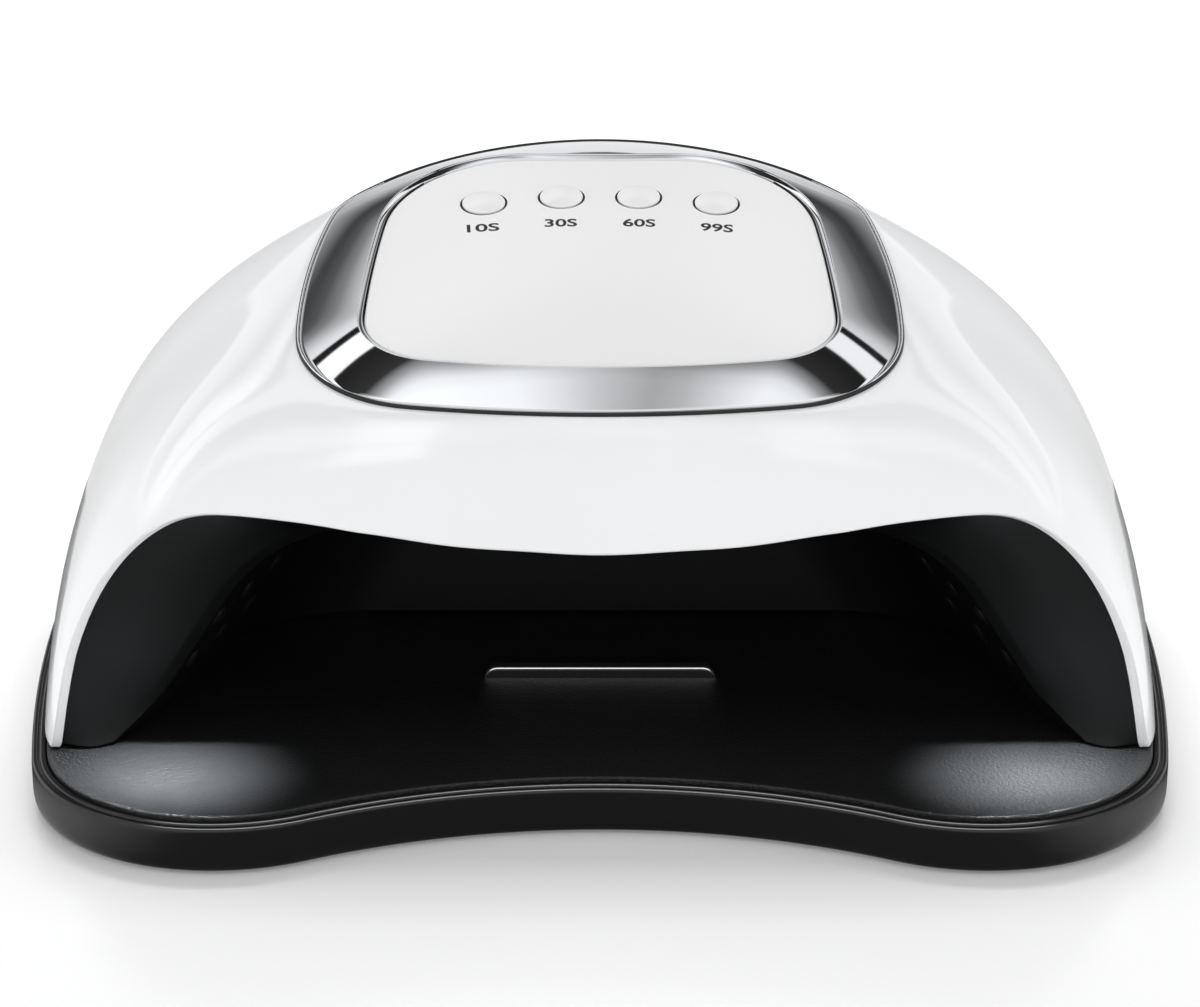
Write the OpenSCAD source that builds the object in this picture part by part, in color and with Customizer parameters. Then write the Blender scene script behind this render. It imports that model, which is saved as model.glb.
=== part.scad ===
// Nail lamp: a domed lamp body that lifts off a flat tray.
// Origin: middle of the footprint on the surface it stands on. X right, Y to the rear, Z up.

/* [Tray] */
// Greatest width of the tray
tray_w = 266.8; // [264:0.1:270]
// How far behind the middle the tray is widest
widest_y = 22; // [18:0.5:26]
// Radius of the tray's gently curved sides
side_r = 607; // [560:1:660]
// Radius of the two front lobes
lobe_r = 43.8; // [42:0.1:45.5]
// How far in front of the middle the lobes' centres lie
lobe_y = 69; // [67:0.1:71]
// How far in front of the middle the dip between the lobes lies
dip_y = 92.8; // [91:0.1:94.5]
// Radius of the rear corners
rear_corner_r = 74; // [71:0.5:77]
// How far behind the middle the rear corners' centres lie
rear_corner_y = 30; // [27:0.5:33]
// Height of the outer rim above the table
rim_h = 11; // [10.4:0.1:12]
// Height of the upturned edge of the floor plate
crest_h = 12.2; // [11.8:0.1:13]
// Height of the flat middle of the floor plate
floor_h = 10; // [9.4:0.1:10.6]
// Width of the slope from the upturned edge to the flat middle
dish_w = 24; // [18:1:30]
// Thickness of the floor plate
floor_t = 2.2; // [1.8:0.1:2.6]
// Width of the rim that stays clear around the lamp body
rim_w = 3; // [2.4:0.1:3.6]
// Thickness of the tray frame's skirt
skirt_t = 2.4; // [2:0.1:2.8]
// Height of the skirt's lower edge above the table
skirt_clear = 0.7; // [0.4:0.1:1.2]
// Diameter of each rubber foot
foot_d = 12; // [9:0.5:14]
// Height of each rubber foot
foot_h = 2.6; // [2:0.1:3.2]

/* [Finger bar] */
// Length of the raised bar on the floor
bar_l = 54; // [46:1:62]
// Depth of the bar, front to back
bar_d = 3; // [2.4:0.1:3.6]
// Height of the bar above the floor
bar_h = 3; // [2.4:0.1:3.6]
// How far in front of the middle the bar lies
bar_y = 28; // [22:1:34]
// Radius of the two locating pegs under the bar
peg_r = 1; // [0.8:0.05:1.1]

/* [Shell] */
// Wall thickness of the white outer shell
shell_t = 2.3; // [2:0.1:2.7]
// How far in front of the middle the hand opening is cut
front_y = 75; // [73:0.2:77]
// Radius of the shell's front corners where they meet the tray
front_corner_r = 22.2; // [20:0.2:24]
// How far in front of the middle the front corners' centres lie
front_corner_y = 65; // [64:0.2:67]
// How far in front of the middle the dome would reach the tray if it weren't cut
front_reach = 83.9; // [82.5:0.1:85]
// Thickness of the flange under the chrome ring
flange_t = 2.2; // [1.8:0.1:2.6]
// Width of each cooling slot
slot_w = 2.4; // [1.8:0.1:3]
// Height of the cooling slots
slot_h = 15; // [10:1:18]
// Number of cooling slots on each side of the power socket
slot_count = 6; // [3:1:7]

/* [Chrome ring] */
// Width across the ring
ring_w = 137.6; // [135:0.2:140]
// How far in front of the middle the ring starts
ring_front = 60.6; // [59:0.2:62]
// How far behind the middle the ring ends
ring_rear = 57.2; // [55:0.2:59]
// Radius of the ring's front corners
ring_corner_r = 29.6; // [27:0.2:31]
// Height of the ring's front edge above the table
ring_front_h = 84.7; // [83.5:0.1:86]
// Slope of the ring and the panel, rising to the rear
ring_tilt = 15.4; // [14.5:0.1:16.5]
// Height of the ring's inner crest over its outer edge
ring_rise = 5; // [4.4:0.1:5.8]
// Height of the ring's thin outer lip
ring_lip = 0.9; // [0.6:0.1:1.2]

/* [Top panel] */
// Width of the ring's inner opening
opening_w = 110; // [108.4:0.2:111.6]
// How far in front of the middle the inner opening starts
opening_front = 50.1; // [49:0.1:51]
// How far behind the middle the inner opening ends
opening_rear = 42.3; // [41.2:0.1:43.4]
// Thickness of the panel
panel_t = 2; // [1.7:0.1:2.4]
// Height of the panel's edge over the ring's outer edge
panel_rise = 4.2; // [3.9:0.1:4.5]
// How much the middle of the panel is domed
panel_crown = 1.4; // [0.6:0.1:1.8]

/* [Buttons] */
// Diameter of each button
button_d = 10.2; // [9:0.1:11]
// Distance between neighbouring buttons
button_pitch = 18.4; // [17:0.1:19.5]
// Distance of the middle buttons from the ring's front edge, along the slope
button_v = 86.3; // [84:0.1:88]
// How far the outer buttons lie in front of the middle ones
button_bow = 2.5; // [0:0.1:4]
// How far the buttons stand out of the panel
button_out = 0.9; // [0.7:0.1:1.3]
// How far a button travels
button_travel = 0.5; // [0.3:0.1:0.6]
// Height of each switch body
switch_h = 3.5; // [3:0.1:3.7]
// Width of the control board
control_w = 76; // [72:1:80]
// Length of the control board, up the slope
control_l = 72; // [70:1:76]
// Width of the display module
display_w = 40; // [30:1:46]
// Depth of the display module, up the slope
display_l = 18; // [14:1:22]
// Height of the display module
display_h = 7; // [5:0.5:7.5]

/* [Hand cavity] */
// Distance from the tray's widest part in to the cavity's mouth at floor level
mouth_inset = 29; // [28.5:0.1:31]
// Height of the cavity's ceiling above the table
ceiling_h = 58.8; // [57:0.1:59.5]
// Slope of the side walls from the horizontal
side_lean = 57; // [54:0.5:60]
// Sideways taper of the cavity for each millimetre of depth
side_taper = 0.289; // [0.25:0.001:0.32]
// Radius between the side walls and the ceiling
ceiling_r = 38; // [34:0.5:40]
// How far in front of the middle the cavity's mouth lies
mouth_y = 62; // [60:0.2:63]
// How far behind the middle the rear wall lies
rear_wall_y = 11; // [8:0.5:14]
// Radius of the cavity's rear corners
rear_r = 22; // [18:0.5:24]
// Width of the dark step between the flared edge and the cavity
step_w = 2.2; // [1.6:0.1:2.8]
// Wall thickness of the liner
liner_t = 1.8; // [1.5:0.1:2.2]
// How far the mouth spreads to each side where it meets the floor
foot_spread = 5; // [3:0.5:6]
// How far the mouth runs forward where it meets the floor
foot_run = 9; // [6:0.5:10]
// Height over which the mouth spreads
foot_spread_h = 11; // [8:0.5:13]

/* [Lamps] */
// Diameter of each lamp lens
lens_d = 6; // [5:0.1:7]
// Thickness of every lamp board
board_t = 1.6; // [1.2:0.1:2]
// Height of the standoffs that carry the lamp boards
standoff_h = 1.8; // [1.6:0.1:2.4]
// Spacing of the ceiling lamps, side to side
ceiling_pitch_x = 26; // [22:0.5:28]
// Spacing of the ceiling lamps, front to back
ceiling_pitch_y = 18; // [15:0.5:19]
// Spacing of the side lamps along the wall
side_pitch = 17; // [14:0.5:18]
// Spacing of the rear lamps
rear_pitch = 28; // [24:0.5:30]
// Space between the outermost lamps and their board's edges
board_edge = 6; // [5:0.5:7]

/* [Frame and fasteners] */
// Thickness of the bottom frame
frame_t = 2.4; // [2:0.1:3]
// Radius of the case screws' shanks
case_screw_r = 1.3; // [1:0.05:1.4]
// Radius of the screw posts inside the shell
post_r = 3.6; // [3.2:0.1:4]
// Diameter of each magnet
magnet_d = 8; // [6:0.5:10]
// Height of each magnet
magnet_h = 1.7; // [1.2:0.1:1.8]
// Thickness of each steel keeper disc
keeper_t = 1; // [0.6:0.1:1.4]
// Diameter of the power socket's nose
socket_d = 8.6; // [8:0.1:9.4]
// Radius of the power socket's centre pin
pin_r = 1.05; // [0.8:0.05:1.25]

/* [Clearances] */
// Gap between the lamp body and the tray it stands on
seat_gap = 0.4; // [0.2:0.05:0.6]
// Gap between fixed pieces that fit into each other
fit_gap = 0.2; // [0.1:0.05:0.3]
// Gap around a button in its hole
button_gap = 0.25; // [0.15:0.05:0.35]
// Gap between a screw and its pilot hole
thread_gap = 0.05; // [0.02:0.01:0.1]

/* [Hidden] */

white = "#f2f3f5";
black = "#1b1c1e";
chrome = "#c9ccd0";
board_green = "#1f5a3a";

// An outline is [half width, widest y, side radius, front corner y, front corner radius, front y,
// rear corner radius, rear corner y, rear y]. Five arcs make each half of it.
tray_outline = [tray_w / 2, widest_y, side_r, -lobe_y, lobe_r, -dip_y,
    rear_corner_r, rear_corner_y, lobe_y + lobe_r];
foot_outline = [tray_w / 2 - rim_w, widest_y, side_r - rim_w, -front_corner_y, front_corner_r, -front_reach,
    rear_corner_r - rim_w, rear_corner_y, lobe_y + lobe_r - rim_w];
ring_outline = [ring_w / 2, -20.3, 190, ring_corner_r - 57.8, ring_corner_r, -ring_front, 22.4, 15.8, ring_rear];
opening_outline = [opening_w / 2, -33.7, 395, -29.4, 17.9, -opening_front, 35.5, 7, opening_rear];

function square_of(v) = v * v;
function mix(a, b, w) = a + (b - a) * w;
function ease(u) = (1 - cos(180 * u)) / 2;
function cubic(p, t) = let (s = 1 - t)
    s * s * s * p[0] + 3 * s * s * t * p[1] + 3 * s * t * t * p[2] + t * t * t * p[3];

// The five arcs of an outline as [x, y, radius], from the front to the rear. A dip has a negative radius.
function corner_x(o, r, y) = o[0] - o[2] + sqrt(square_of(o[2] - r) - square_of(y - o[1]));
function closing_r(x, depth, r) = (x * x + depth * depth - r * r) / (2 * (depth - r));
function arcs_of(o) = let (
    front_x = corner_x(o, o[4], o[3]),
    front_r = closing_r(front_x, o[3] - o[5], o[4]),
    rear_x = corner_x(o, o[6], o[7]),
    rear_r = closing_r(rear_x, o[8] - o[7], o[6]))
    [[0, o[5] + front_r, front_r], [front_x, o[3], o[4]], [o[0] - o[2], o[1], o[2]],
     [rear_x, o[7], o[6]], [0, o[8] - rear_r, rear_r]];

// Direction, from the front, of the point where two neighbouring arcs meet
function meeting(p, q, inset) = let (k = (p[2] - inset) / (p[2] - q[2]))
    atan2(mix(p[0], q[0], k), -mix(p[1], q[1], k));
function arc_reach(c, inset, a) = let (r = c[2] - inset, along = c[0] * sin(a) - c[1] * cos(a))
    along + sign(r) * sqrt(max(0, r * r - c[0] * c[0] - c[1] * c[1] + along * along));
// Distance from the middle to an outline, moved inwards by inset, in the direction a from the front
function reach(arcs, inset, a) = let (b = abs(a))
    b < meeting(arcs[0], arcs[1], inset) ? arc_reach(arcs[0], inset, b)
    : b < meeting(arcs[1], arcs[2], inset) ? arc_reach(arcs[1], inset, b)
    : b < meeting(arcs[2], arcs[3], inset) ? arc_reach(arcs[2], inset, b)
    : b < meeting(arcs[3], arcs[4], inset) ? arc_reach(arcs[3], inset, b)
    : arc_reach(arcs[4], inset, b);
function polar(r, a, z) = [r * sin(a), -r * cos(a), z];

tray_arcs = arcs_of(tray_outline);
foot_arcs = arcs_of(foot_outline);
ring_arcs = arcs_of(ring_outline);
opening_arcs = arcs_of(opening_outline);

// The dome. Each meridian is a cubic curve from the foot to the ring's outer edge.
// A profile is [pull in, rise, pull out, drop] of its two middle control points.
foot_z = crest_h + seat_gap;
profile_angles = [0, 34, 52, 90, 180];
profiles = [[0.27, 0.48, 0.58, 0.13], [0.27, 0.51, 0.645, 0.05], [0.08, 0.55, 0.665, 0.05],
    [0.07, 0.57, 0.55, 0.17], [0.18, 0.5, 0.45, 0.31]];
// Two soft waves on the pull in, which give the visor's edge its even sweep: [size, direction, spread]
front_waves = [[0.047, 23, 10.5], [-0.035, 38, 6.3]];
function wave_at(w, b) = w[0] * exp(-square_of((b - w[1]) / w[2]));
function profile_at(a) = let (
    b = abs(a),
    k = b < profile_angles[1] ? 0 : b < profile_angles[2] ? 1 : b < profile_angles[3] ? 2 : 3,
    u = (b - profile_angles[k]) / (profile_angles[k + 1] - profile_angles[k]))
    mix(profiles[k], profiles[k + 1], ease(u)) + [wave_at(front_waves[0], b) + wave_at(front_waves[1], b), 0, 0, 0];
function ring_plane(y) = ring_front_h + (y + ring_front) * tan(ring_tilt);
function meridian(a) = let (
    low = reach(foot_arcs, 0, a),
    high = reach(ring_arcs, 0, a),
    top = ring_plane(-high * cos(a)),
    p = profile_at(a),
    run = low - high,
    rise = top - foot_z)
    [a, [low, low - p[0] * run, high + p[2] * run, high], [foot_z, foot_z + p[1] * rise, top - p[3] * rise, top]];
function dome_point(m, t) = polar(cubic(m[1], t), m[0], cubic(m[2], t));
function unit(v) = v / norm(v);
function dome_normal(a, t) = unit(cross(
    dome_point(meridian(a + 0.2), t) - dome_point(meridian(a - 0.2), t),
    dome_point(meridian(a), t + 0.01) - dome_point(meridian(a), t - 0.01)));
// Where a meridian crosses the plane of the hand opening
function cut_at(m, low = 0, high = 1, steps = 24) = let (mid = (low + high) / 2)
    steps == 0 ? mid
    : -cubic(m[1], mid) * cos(m[0]) < -front_y ? cut_at(m, mid, high, steps - 1)
    : cut_at(m, low, mid, steps - 1);
leg_a = atan2(foot_arcs[1].x + sqrt(square_of(front_corner_r) - square_of(front_y - front_corner_y)), front_y);
function start_of(m) = abs(m[0]) < leg_a ? cut_at(m) : 0;

// Directions of the shell's columns: close together where the legs curve
visor_columns = 11;
leg_columns = 8;
rear_columns = 21;
leg_start_a = 50;
front_angles = concat(
    [for (i = [0:visor_columns - 1]) i * leg_start_a / visor_columns],
    [for (i = [0:leg_columns]) mix(leg_start_a, leg_a, ease(i / leg_columns) * 0.4 + 0.6 * i / leg_columns)]);
half_angles = concat(front_angles,
    [for (i = [1:rear_columns]) mix(leg_a, 180, i / rear_columns)]);
shell_angles = concat([for (i = [len(half_angles) - 2:-1:1]) -half_angles[i]], half_angles);
shell_rows = [0, 0.04, 0.12, 0.22, 0.34, 0.46, 0.58, 0.7, 0.8, 0.9, 1];
function round_angles(n) = [for (i = [0:n - 1]) i * 360 / n - 180];

// A point on the ring: share of the band from its outer to its inner edge, further inset, height over the plane
function band_point(a, share, inset, dz) = let (
    r = mix(reach(ring_arcs, 0, a), reach(opening_arcs, 0, a), share) - inset)
    polar(r, a, ring_plane(-r * cos(a)) + dz);
flange_share = 0.75;
function shell_section(a) = let (
    m = meridian(a),
    start = start_of(m),
    outer = [for (s = shell_rows) dome_point(m, mix(start, 1, s))],
    inner = [for (k = [len(shell_rows) - 1:-1:0]) let (
        t = mix(start, 1, shell_rows[k]),
        p = dome_point(m, t) - shell_t * dome_normal(a, t))
        start == 0 && k == 0 ? [p.x, p.y, foot_z] : p])
    concat(outer, [band_point(a, flange_share, 0, 0), band_point(a, flange_share, 0, -flange_t)], inner);

// The same spot on both sides
function both(x, y) = [[-x, y], [x, y]];
half_w = tray_w / 2;
tray_rear = lobe_y + lobe_r;
cavity_half_w = half_w - mouth_inset;

// The floor plate's height at a distance inside the tray's outline
crest_inset = rim_w + 1;
function dish_z(inset) = floor_h + (crest_h - floor_h)
    * square_of(1 - min(1, max(0, inset - crest_inset - 0.5) / dish_w));

// Faces of a grid whose columns close on themselves. Rows close too, or end in a pole at each end.
function distinct(f) = f[0] != f[1] && f[1] != f[2] && f[0] != f[2];
module ring_solid(sections) {
    n = len(sections);
    m = len(sections[0]);
    faces = [for (i = [0:n - 1], j = [0:m - 1]) let (
        a = i * m + j,
        b = ((i + 1) % n) * m + j,
        c = ((i + 1) % n) * m + (j + 1) % m,
        d = i * m + (j + 1) % m)
        each [[a, c, b], [a, d, c]]];
    polyhedron([for (s = sections) each s], faces);
}
module disc_solid(sections, bottom, top) {
    n = len(sections);
    m = len(sections[0]);
    function at(i, j) = j < 0 ? n * m : j == m ? n * m + 1 : (i % n) * m + j;
    faces = [for (i = [0:n - 1], j = [-1:m - 1])
        each [[at(i, j), at(i + 1, j + 1), at(i + 1, j)], [at(i, j), at(i, j + 1), at(i + 1, j + 1)]]];
    polyhedron(concat([for (s = sections) each s], [bottom, top]), [for (f = faces) if (distinct(f)) f]);
}
// A curved wall between a near and a far grid of points. Both grids end in a pole after their last row.
module wall_solid(near, far, near_pole, far_pole) {
    n = len(near);
    m = len(near[0]);
    half = n * m + 1;
    function nr(k, j) = j == m ? n * m : k * m + j;
    function fr(k, j) = half + nr(k, j);
    last = n - 1;
    faces = concat(
        [for (k = [0:n - 2], j = [0:m - 1]) each [[nr(k, j), nr(k + 1, j + 1), nr(k, j + 1)],
            [nr(k, j), nr(k + 1, j), nr(k + 1, j + 1)],
            [fr(k, j), fr(k, j + 1), fr(k + 1, j + 1)],
            [fr(k, j), fr(k + 1, j + 1), fr(k + 1, j)]]],
        [for (k = [0:n - 2]) each [[nr(k, 0), fr(k + 1, 0), nr(k + 1, 0)], [nr(k, 0), fr(k, 0), fr(k + 1, 0)]]],
        [for (j = [0:m - 1]) each [[nr(0, j), nr(0, j + 1), fr(0, j + 1)], [nr(0, j), fr(0, j + 1), fr(0, j)],
            [nr(last, j), fr(last, j + 1), nr(last, j + 1)], [nr(last, j), fr(last, j), fr(last, j + 1)]]]);
    polyhedron(concat([for (s = near) each s], [near_pole], [for (s = far) each s], [far_pole]),
        [for (f = faces) if (distinct(f)) f]);
}
// A round lead along a path, with a ring of points at each point of the path
module lead(path, r, sides = 6) {
    n = len(path);
    function along(i) = unit(path[min(n - 1, i + 1)] - path[max(0, i - 1)]);
    rings = [for (i = [0:n - 1]) let (
        d = along(i),
        u = unit(cross(d, abs(d.x) < 0.8 ? [1, 0, 0] : [0, 1, 0])),
        v = cross(d, u))
        [for (k = [0:sides - 1]) path[i] + r * (cos(k * 360 / sides) * u + sin(k * 360 / sides) * v)]];
    faces = concat(
        [for (i = [0:n - 2], k = [0:sides - 1]) let (
            a = i * sides + k,
            b = i * sides + (k + 1) % sides)
            each [[a, a + sides, b + sides], [a, b + sides, b]]],
        [[for (k = [0:sides - 1]) k]],
        [[for (k = [sides - 1:-1:0]) (n - 1) * sides + k]]);
    polyhedron([for (s = rings) each s], faces);
}

// Places children at each of a list of spots, at height z
module at(spots, z) {
    for (s = spots) translate([s.x, s.y, z]) children();
}

// Tray
frame_profile = [[skirt_t + 0.3, skirt_clear], [1.1, skirt_clear], [0.35, skirt_clear + 1.4], [0, skirt_clear + 3.4],
    [0, rim_h - 0.6], [0.45, rim_h - 0.05], [1.05, rim_h], [1.35, rim_h - 0.4], [1.7, rim_h - 0.4], [2, rim_h + 0.1],
    [rim_w + 0.3, rim_h + 0.3], [rim_w + 0.3, floor_h - floor_t - 0.1], [7.4, floor_h - floor_t - 0.1],
    [7.4, floor_h - floor_t - 2], [skirt_t, floor_h - floor_t - 2]];
tray_columns = 88;
module tray_frame() {
    color(black) ring_solid([for (a = round_angles(tray_columns))
        [for (p = frame_profile) polar(reach(tray_arcs, p[0], a), a, p[1])]]);
}
plate_edge = rim_w + 0.3 + fit_gap;
plate_insets = [plate_edge + 6, plate_edge + 0.3, plate_edge, plate_edge, crest_inset, crest_inset + 0.5,
    crest_inset + 0.5 + dish_w * 0.12, crest_inset + 0.5 + dish_w * 0.3,
    crest_inset + 0.5 + dish_w * 0.6, crest_inset + 0.5 + dish_w];
under = floor_h - floor_t;
function plate_section(a) = [for (k = [0:len(plate_insets) - 1]) polar(reach(tray_arcs, plate_insets[k], a), a,
    k < 2 ? under : k == 2 ? under + 0.4 : k == 3 ? crest_h - 0.4 : dish_z(plate_insets[k]))];
lobe_x = tray_arcs[1].x;
foot_spots = concat(both(lobe_x + 14, -lobe_y - 9), both(half_w - 21.4, 30),
    both(0.375 * half_w, tray_rear - 24.8));
peg_spots = both(bar_l / 3, -bar_y);
keeper_spots = concat(both(half_w - 21.4, -20), both(half_w * 0.525, tray_rear - 42.8));
module floor_plate() {
    color(black) difference() {
        union() {
            disc_solid([for (a = round_angles(tray_columns)) plate_section(a)], [0, 0, under], [0, 0, floor_h]);
            at(foot_spots, foot_h) cylinder(d = foot_d + 2, h = under - foot_h + 0.5, $fn = 48);
        }
        at(peg_spots, floor_h - 1.4) cylinder(r = peg_r + fit_gap / 2, h = 3, $fn = 24);
    }
}
// The bar: a low ridge with rounded top and ends
module finger_bar() {
    color("#2a2b2e") union() {
        difference() {
            translate([-bar_l / 2, -bar_y - bar_d / 2, floor_h]) cube([bar_l, bar_d, bar_h]);
            for (x = [-1, 1]) translate([x * (bar_l / 2 - bar_h), -bar_y, floor_h]) difference() {
                translate([x * bar_h - bar_h, -bar_d, 0]) cube([2 * bar_h, 2 * bar_d, 2 * bar_h]);
                translate([0, 2 * bar_d, 0]) rotate([90, 0, 0]) cylinder(r = bar_h, h = 4 * bar_d, $fn = 48);
                translate([x > 0 ? -2 * bar_h : 0, -2 * bar_d, -1]) cube([2 * bar_h, 4 * bar_d, 3 * bar_h]);
            }
        }
        at(peg_spots, floor_h - 1.2) cylinder(r = peg_r, h = 1.5, $fn = 24);
    }
}
module tray_feet() {
    color("#232425") at(foot_spots, 0) cylinder(d = foot_d, h = foot_h, $fn = 48);
}
module keeper_discs() {
    color("silver") at(keeper_spots, under - keeper_t) cylinder(d = magnet_d + 4, h = keeper_t, $fn = 48);
}

// Lamp body: outer shell with posts for the case screws, cooling slots and a hole for the socket
frame_z = foot_z + 0.4;
deck_z = frame_z + frame_t;
post_spots = concat(both(half_w - 18.4, -38), both(half_w - 17.4, 38),
    both(half_w * 0.465, tray_rear - 24.8));
socket_z = deck_z + 6.2;
function dome_t_at(m, r, low = 0, high = 1, steps = 20) = let (mid = (low + high) / 2)
    steps == 0 ? mid
    : cubic(m[1], mid) > r ? dome_t_at(m, r, mid, high, steps - 1)
    : dome_t_at(m, r, low, mid, steps - 1);
function dome_z(x, y) = let (m = meridian(atan2(x, -y))) cubic(m[2], dome_t_at(m, norm([x, y])));
function post_top(s) = let (r = norm(s), far = s * (r + post_r) / r) dome_z(far.x, far.y) - 2.6;
module outer_shell() {
    color(white) difference() {
        union() {
            ring_solid([for (a = shell_angles) shell_section(a)]);
            for (s = post_spots) translate([s.x, s.y, deck_z]) cylinder(r = post_r, h = post_top(s) - deck_z, $fn = 32);
        }
        at(post_spots, deck_z - 1) cylinder(r = case_screw_r + thread_gap, h = 13, $fn = 24);
        for (x = [-1, 1], i = [0:slot_count - 1])
            translate([x * (19 + i * 2.4 * slot_w) - slot_w / 2, 70, 23]) cube([slot_w, 60, slot_h]);
        translate([0, 90, socket_z]) rotate([-90, 0, 0]) cylinder(d = socket_d + 2 * fit_gap, h = 30, $fn = 48);
    }
}

// Chrome ring: thin outer lip, wide sloping band, crest, inner chamfer and a ledge under the panel
ring_profile = [[0, 0, 0.1], [0, 0, ring_lip], [0.03, 0, ring_lip + 0.2],
    [0.5, 0, mix(ring_lip + 0.2, ring_rise, 0.5)], [1, 0, ring_rise], [1, 0.3, ring_rise + 0.08], [1, 1.7, panel_rise + 0.1], [1, 1.7, panel_rise - panel_t - 0.4],
    [1, 4.4, panel_rise - panel_t - 0.4], [1, 4.4, 0.4], [0.72, 0, 0.1]];
ring_columns = 72;
module chrome_ring() {
    color(chrome) ring_solid([for (a = round_angles(ring_columns))
        [for (p = ring_profile) band_point(a, p[0], p[1], p[2])]]);
}

// Top panel, in the opening of the ring
panel_inset = 1.7 + fit_gap;
function panel_edge(a) = reach(opening_arcs, panel_inset, a);
function panel_height(x, y) = let (share = norm([x, y]) / panel_edge(atan2(x, -y)))
    panel_rise + panel_crown * (1 - share * share);
function panel_point(a, share, dz) = let (p = polar(share * panel_edge(a), a, 0))
    [p.x, p.y, ring_plane(p.y) + panel_height(p.x, p.y) + dz];
panel_rows = [[0.5, -panel_t], [0.9, -panel_t], [1, -panel_t], [1, -0.5], [0.985, -0.12],
    [0.95, 0], [0.75, 0], [0.5, 0], [0.25, 0]];
// Places children on the slope of the ring: x across, y up the slope from the ring's front edge, z square to it
module on_slope() {
    translate([0, -ring_front, ring_front_h]) rotate([ring_tilt, 0, 0]) children();
}
function slope_to_y(v, w) = -ring_front + v * cos(ring_tilt) - w * sin(ring_tilt);
button_spots = [for (i = [0:3]) let (
    x = (i - 1.5) * button_pitch,
    v = button_v - (abs(i - 1.5) > 1 ? button_bow : 0))
    [x, v, panel_height(x, slope_to_y(v, panel_rise)) * cos(ring_tilt)]];
board_w = -6;
boss_spots = [[-31, 28], [31, 28], [-33, 70], [33, 70]];
function under_panel(s) = (panel_height(s.x, slope_to_y(s.y, 0)) - panel_t) * cos(ring_tilt);
module top_panel() {
    color(white) difference() {
        union() {
            disc_solid([for (a = round_angles(ring_columns)) [for (p = panel_rows) panel_point(a, p[0], p[1])]],
                panel_point(0, 0, -panel_t), panel_point(0, 0, 0));
            on_slope() for (s = boss_spots) translate([s.x, s.y, board_w + 0.05])
                cylinder(r = 3, h = under_panel(s) + 0.7 - board_w, $fn = 32);
        }
        on_slope() at(button_spots, panel_rise - 6) cylinder(d = button_d + 2 * button_gap, h = 14, $fn = 48);
        on_slope() at(boss_spots, board_w - 1) cylinder(r = 1 + thread_gap, h = 6.5, $fn = 24);
    }
}

// Inner liner: a flared edge behind the shell's opening, then a tapering cavity with a rounded rear
lip_gap = 0.35;
liner_foot_z = floor_h + 0.8;
function edge_point(a) = let (m = meridian(a), t = start_of(m))
    dome_point(m, t) - (shell_t + lip_gap) * dome_normal(a, t);
edge_points = [for (a = front_angles) edge_point(a)];
edge_runs = [for (i = 0, d = 0; i < len(edge_points);
    d = d + (i + 1 < len(edge_points) ? norm(edge_points[i + 1] - edge_points[i]) : 0), i = i + 1) d];
edge_shares = [for (d = edge_runs) d / edge_runs[len(edge_runs) - 1]];
wall_level = sin(side_lean) * cavity_half_w + cos(side_lean) * floor_h;
// A point of the cavity's cross-section at depth y, moved outwards by off.
// Share 0 is the middle of the ceiling, 1 the foot.
function cavity_point(y, off, share) = let (
    r = ceiling_r + off,
    cz = ceiling_h - ceiling_r,
    level = wall_level - side_taper * sin(side_lean) * (y + mouth_y),
    cx = (level - ceiling_r - cos(side_lean) * cz) / sin(side_lean),
    bend = r * side_lean * PI / 180,
    down = (cz + r * cos(side_lean) - liner_foot_z) / sin(side_lean),
    d = share * (cx + bend + down),
    turn = (d - cx) / r * 180 / PI,
    rest = d - cx - bend)
    d < cx ? [d, y, ceiling_h + off]
    : turn < side_lean ? [cx + r * sin(turn), y, cz + r * cos(turn)]
    : [cx + r * sin(side_lean) + rest * cos(side_lean), y, cz + r * cos(side_lean) - rest * sin(side_lean)];
// Near the floor the mouth spreads outwards and forward
function spread(p) = let (k = square_of(max(0, 1 - (p.z - floor_h - 1) / foot_spread_h)))
    p + k * [foot_spread, -foot_run, 0.5];
corner_turns = [0, 24, 46, 68, 90];
rear_y = rear_wall_y - rear_r;
function near_column(k) = let (
    s = edge_shares[k],
    e = edge_points[k],
    t = spread(cavity_point(-mouth_y, step_w, s)))
    concat([e, mix(e, t, 0.35) + [0, -0.5, 0], mix(e, t, 0.7) + [0, -0.4, 0], t,
        spread(cavity_point(-mouth_y + 2.5, 0, s)), cavity_point(-mouth_y + 9, 0, s),
        cavity_point(mix(-mouth_y, rear_y, 0.5), 0, s)],
        [for (c = corner_turns) cavity_point(rear_y + rear_r * sin(c), rear_r * (cos(c) - 1), s)]);
function far_column(k) = let (
    s = edge_shares[k],
    e = edge_points[k] + [0, 1.5, 0],
    t = spread(cavity_point(-mouth_y + 1.4, step_w + liner_t, s)))
    concat([e, mix(e, t, 0.35), mix(e, t, 0.7), t,
        spread(cavity_point(-mouth_y + 4, liner_t, s)), cavity_point(-mouth_y + 9, liner_t, s),
        cavity_point(mix(-mouth_y, rear_y, 0.5), liner_t, s)],
        [for (c = corner_turns) let (r = rear_r + liner_t)
            cavity_point(rear_y + r * sin(c), r * cos(c) - rear_r, s)]);
function flip(column) = [for (p = column) [-p.x, p.y, p.z]];
front_last = len(front_angles) - 1;
near_half = [for (k = [0:front_last]) near_column(k)];
far_half = [for (k = [0:front_last]) far_column(k)];
function both_halves(half) = concat([for (k = [len(half) - 1:-1:1]) flip(half[k])], half);

// Local frames on the cavity's walls, with z square to the wall and pointing out of the cavity
side_yaw = atan(side_taper);
side_rise = atan(cos(side_lean) / (sin(side_lean) * sqrt(1 + square_of(side_taper))));
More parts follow.
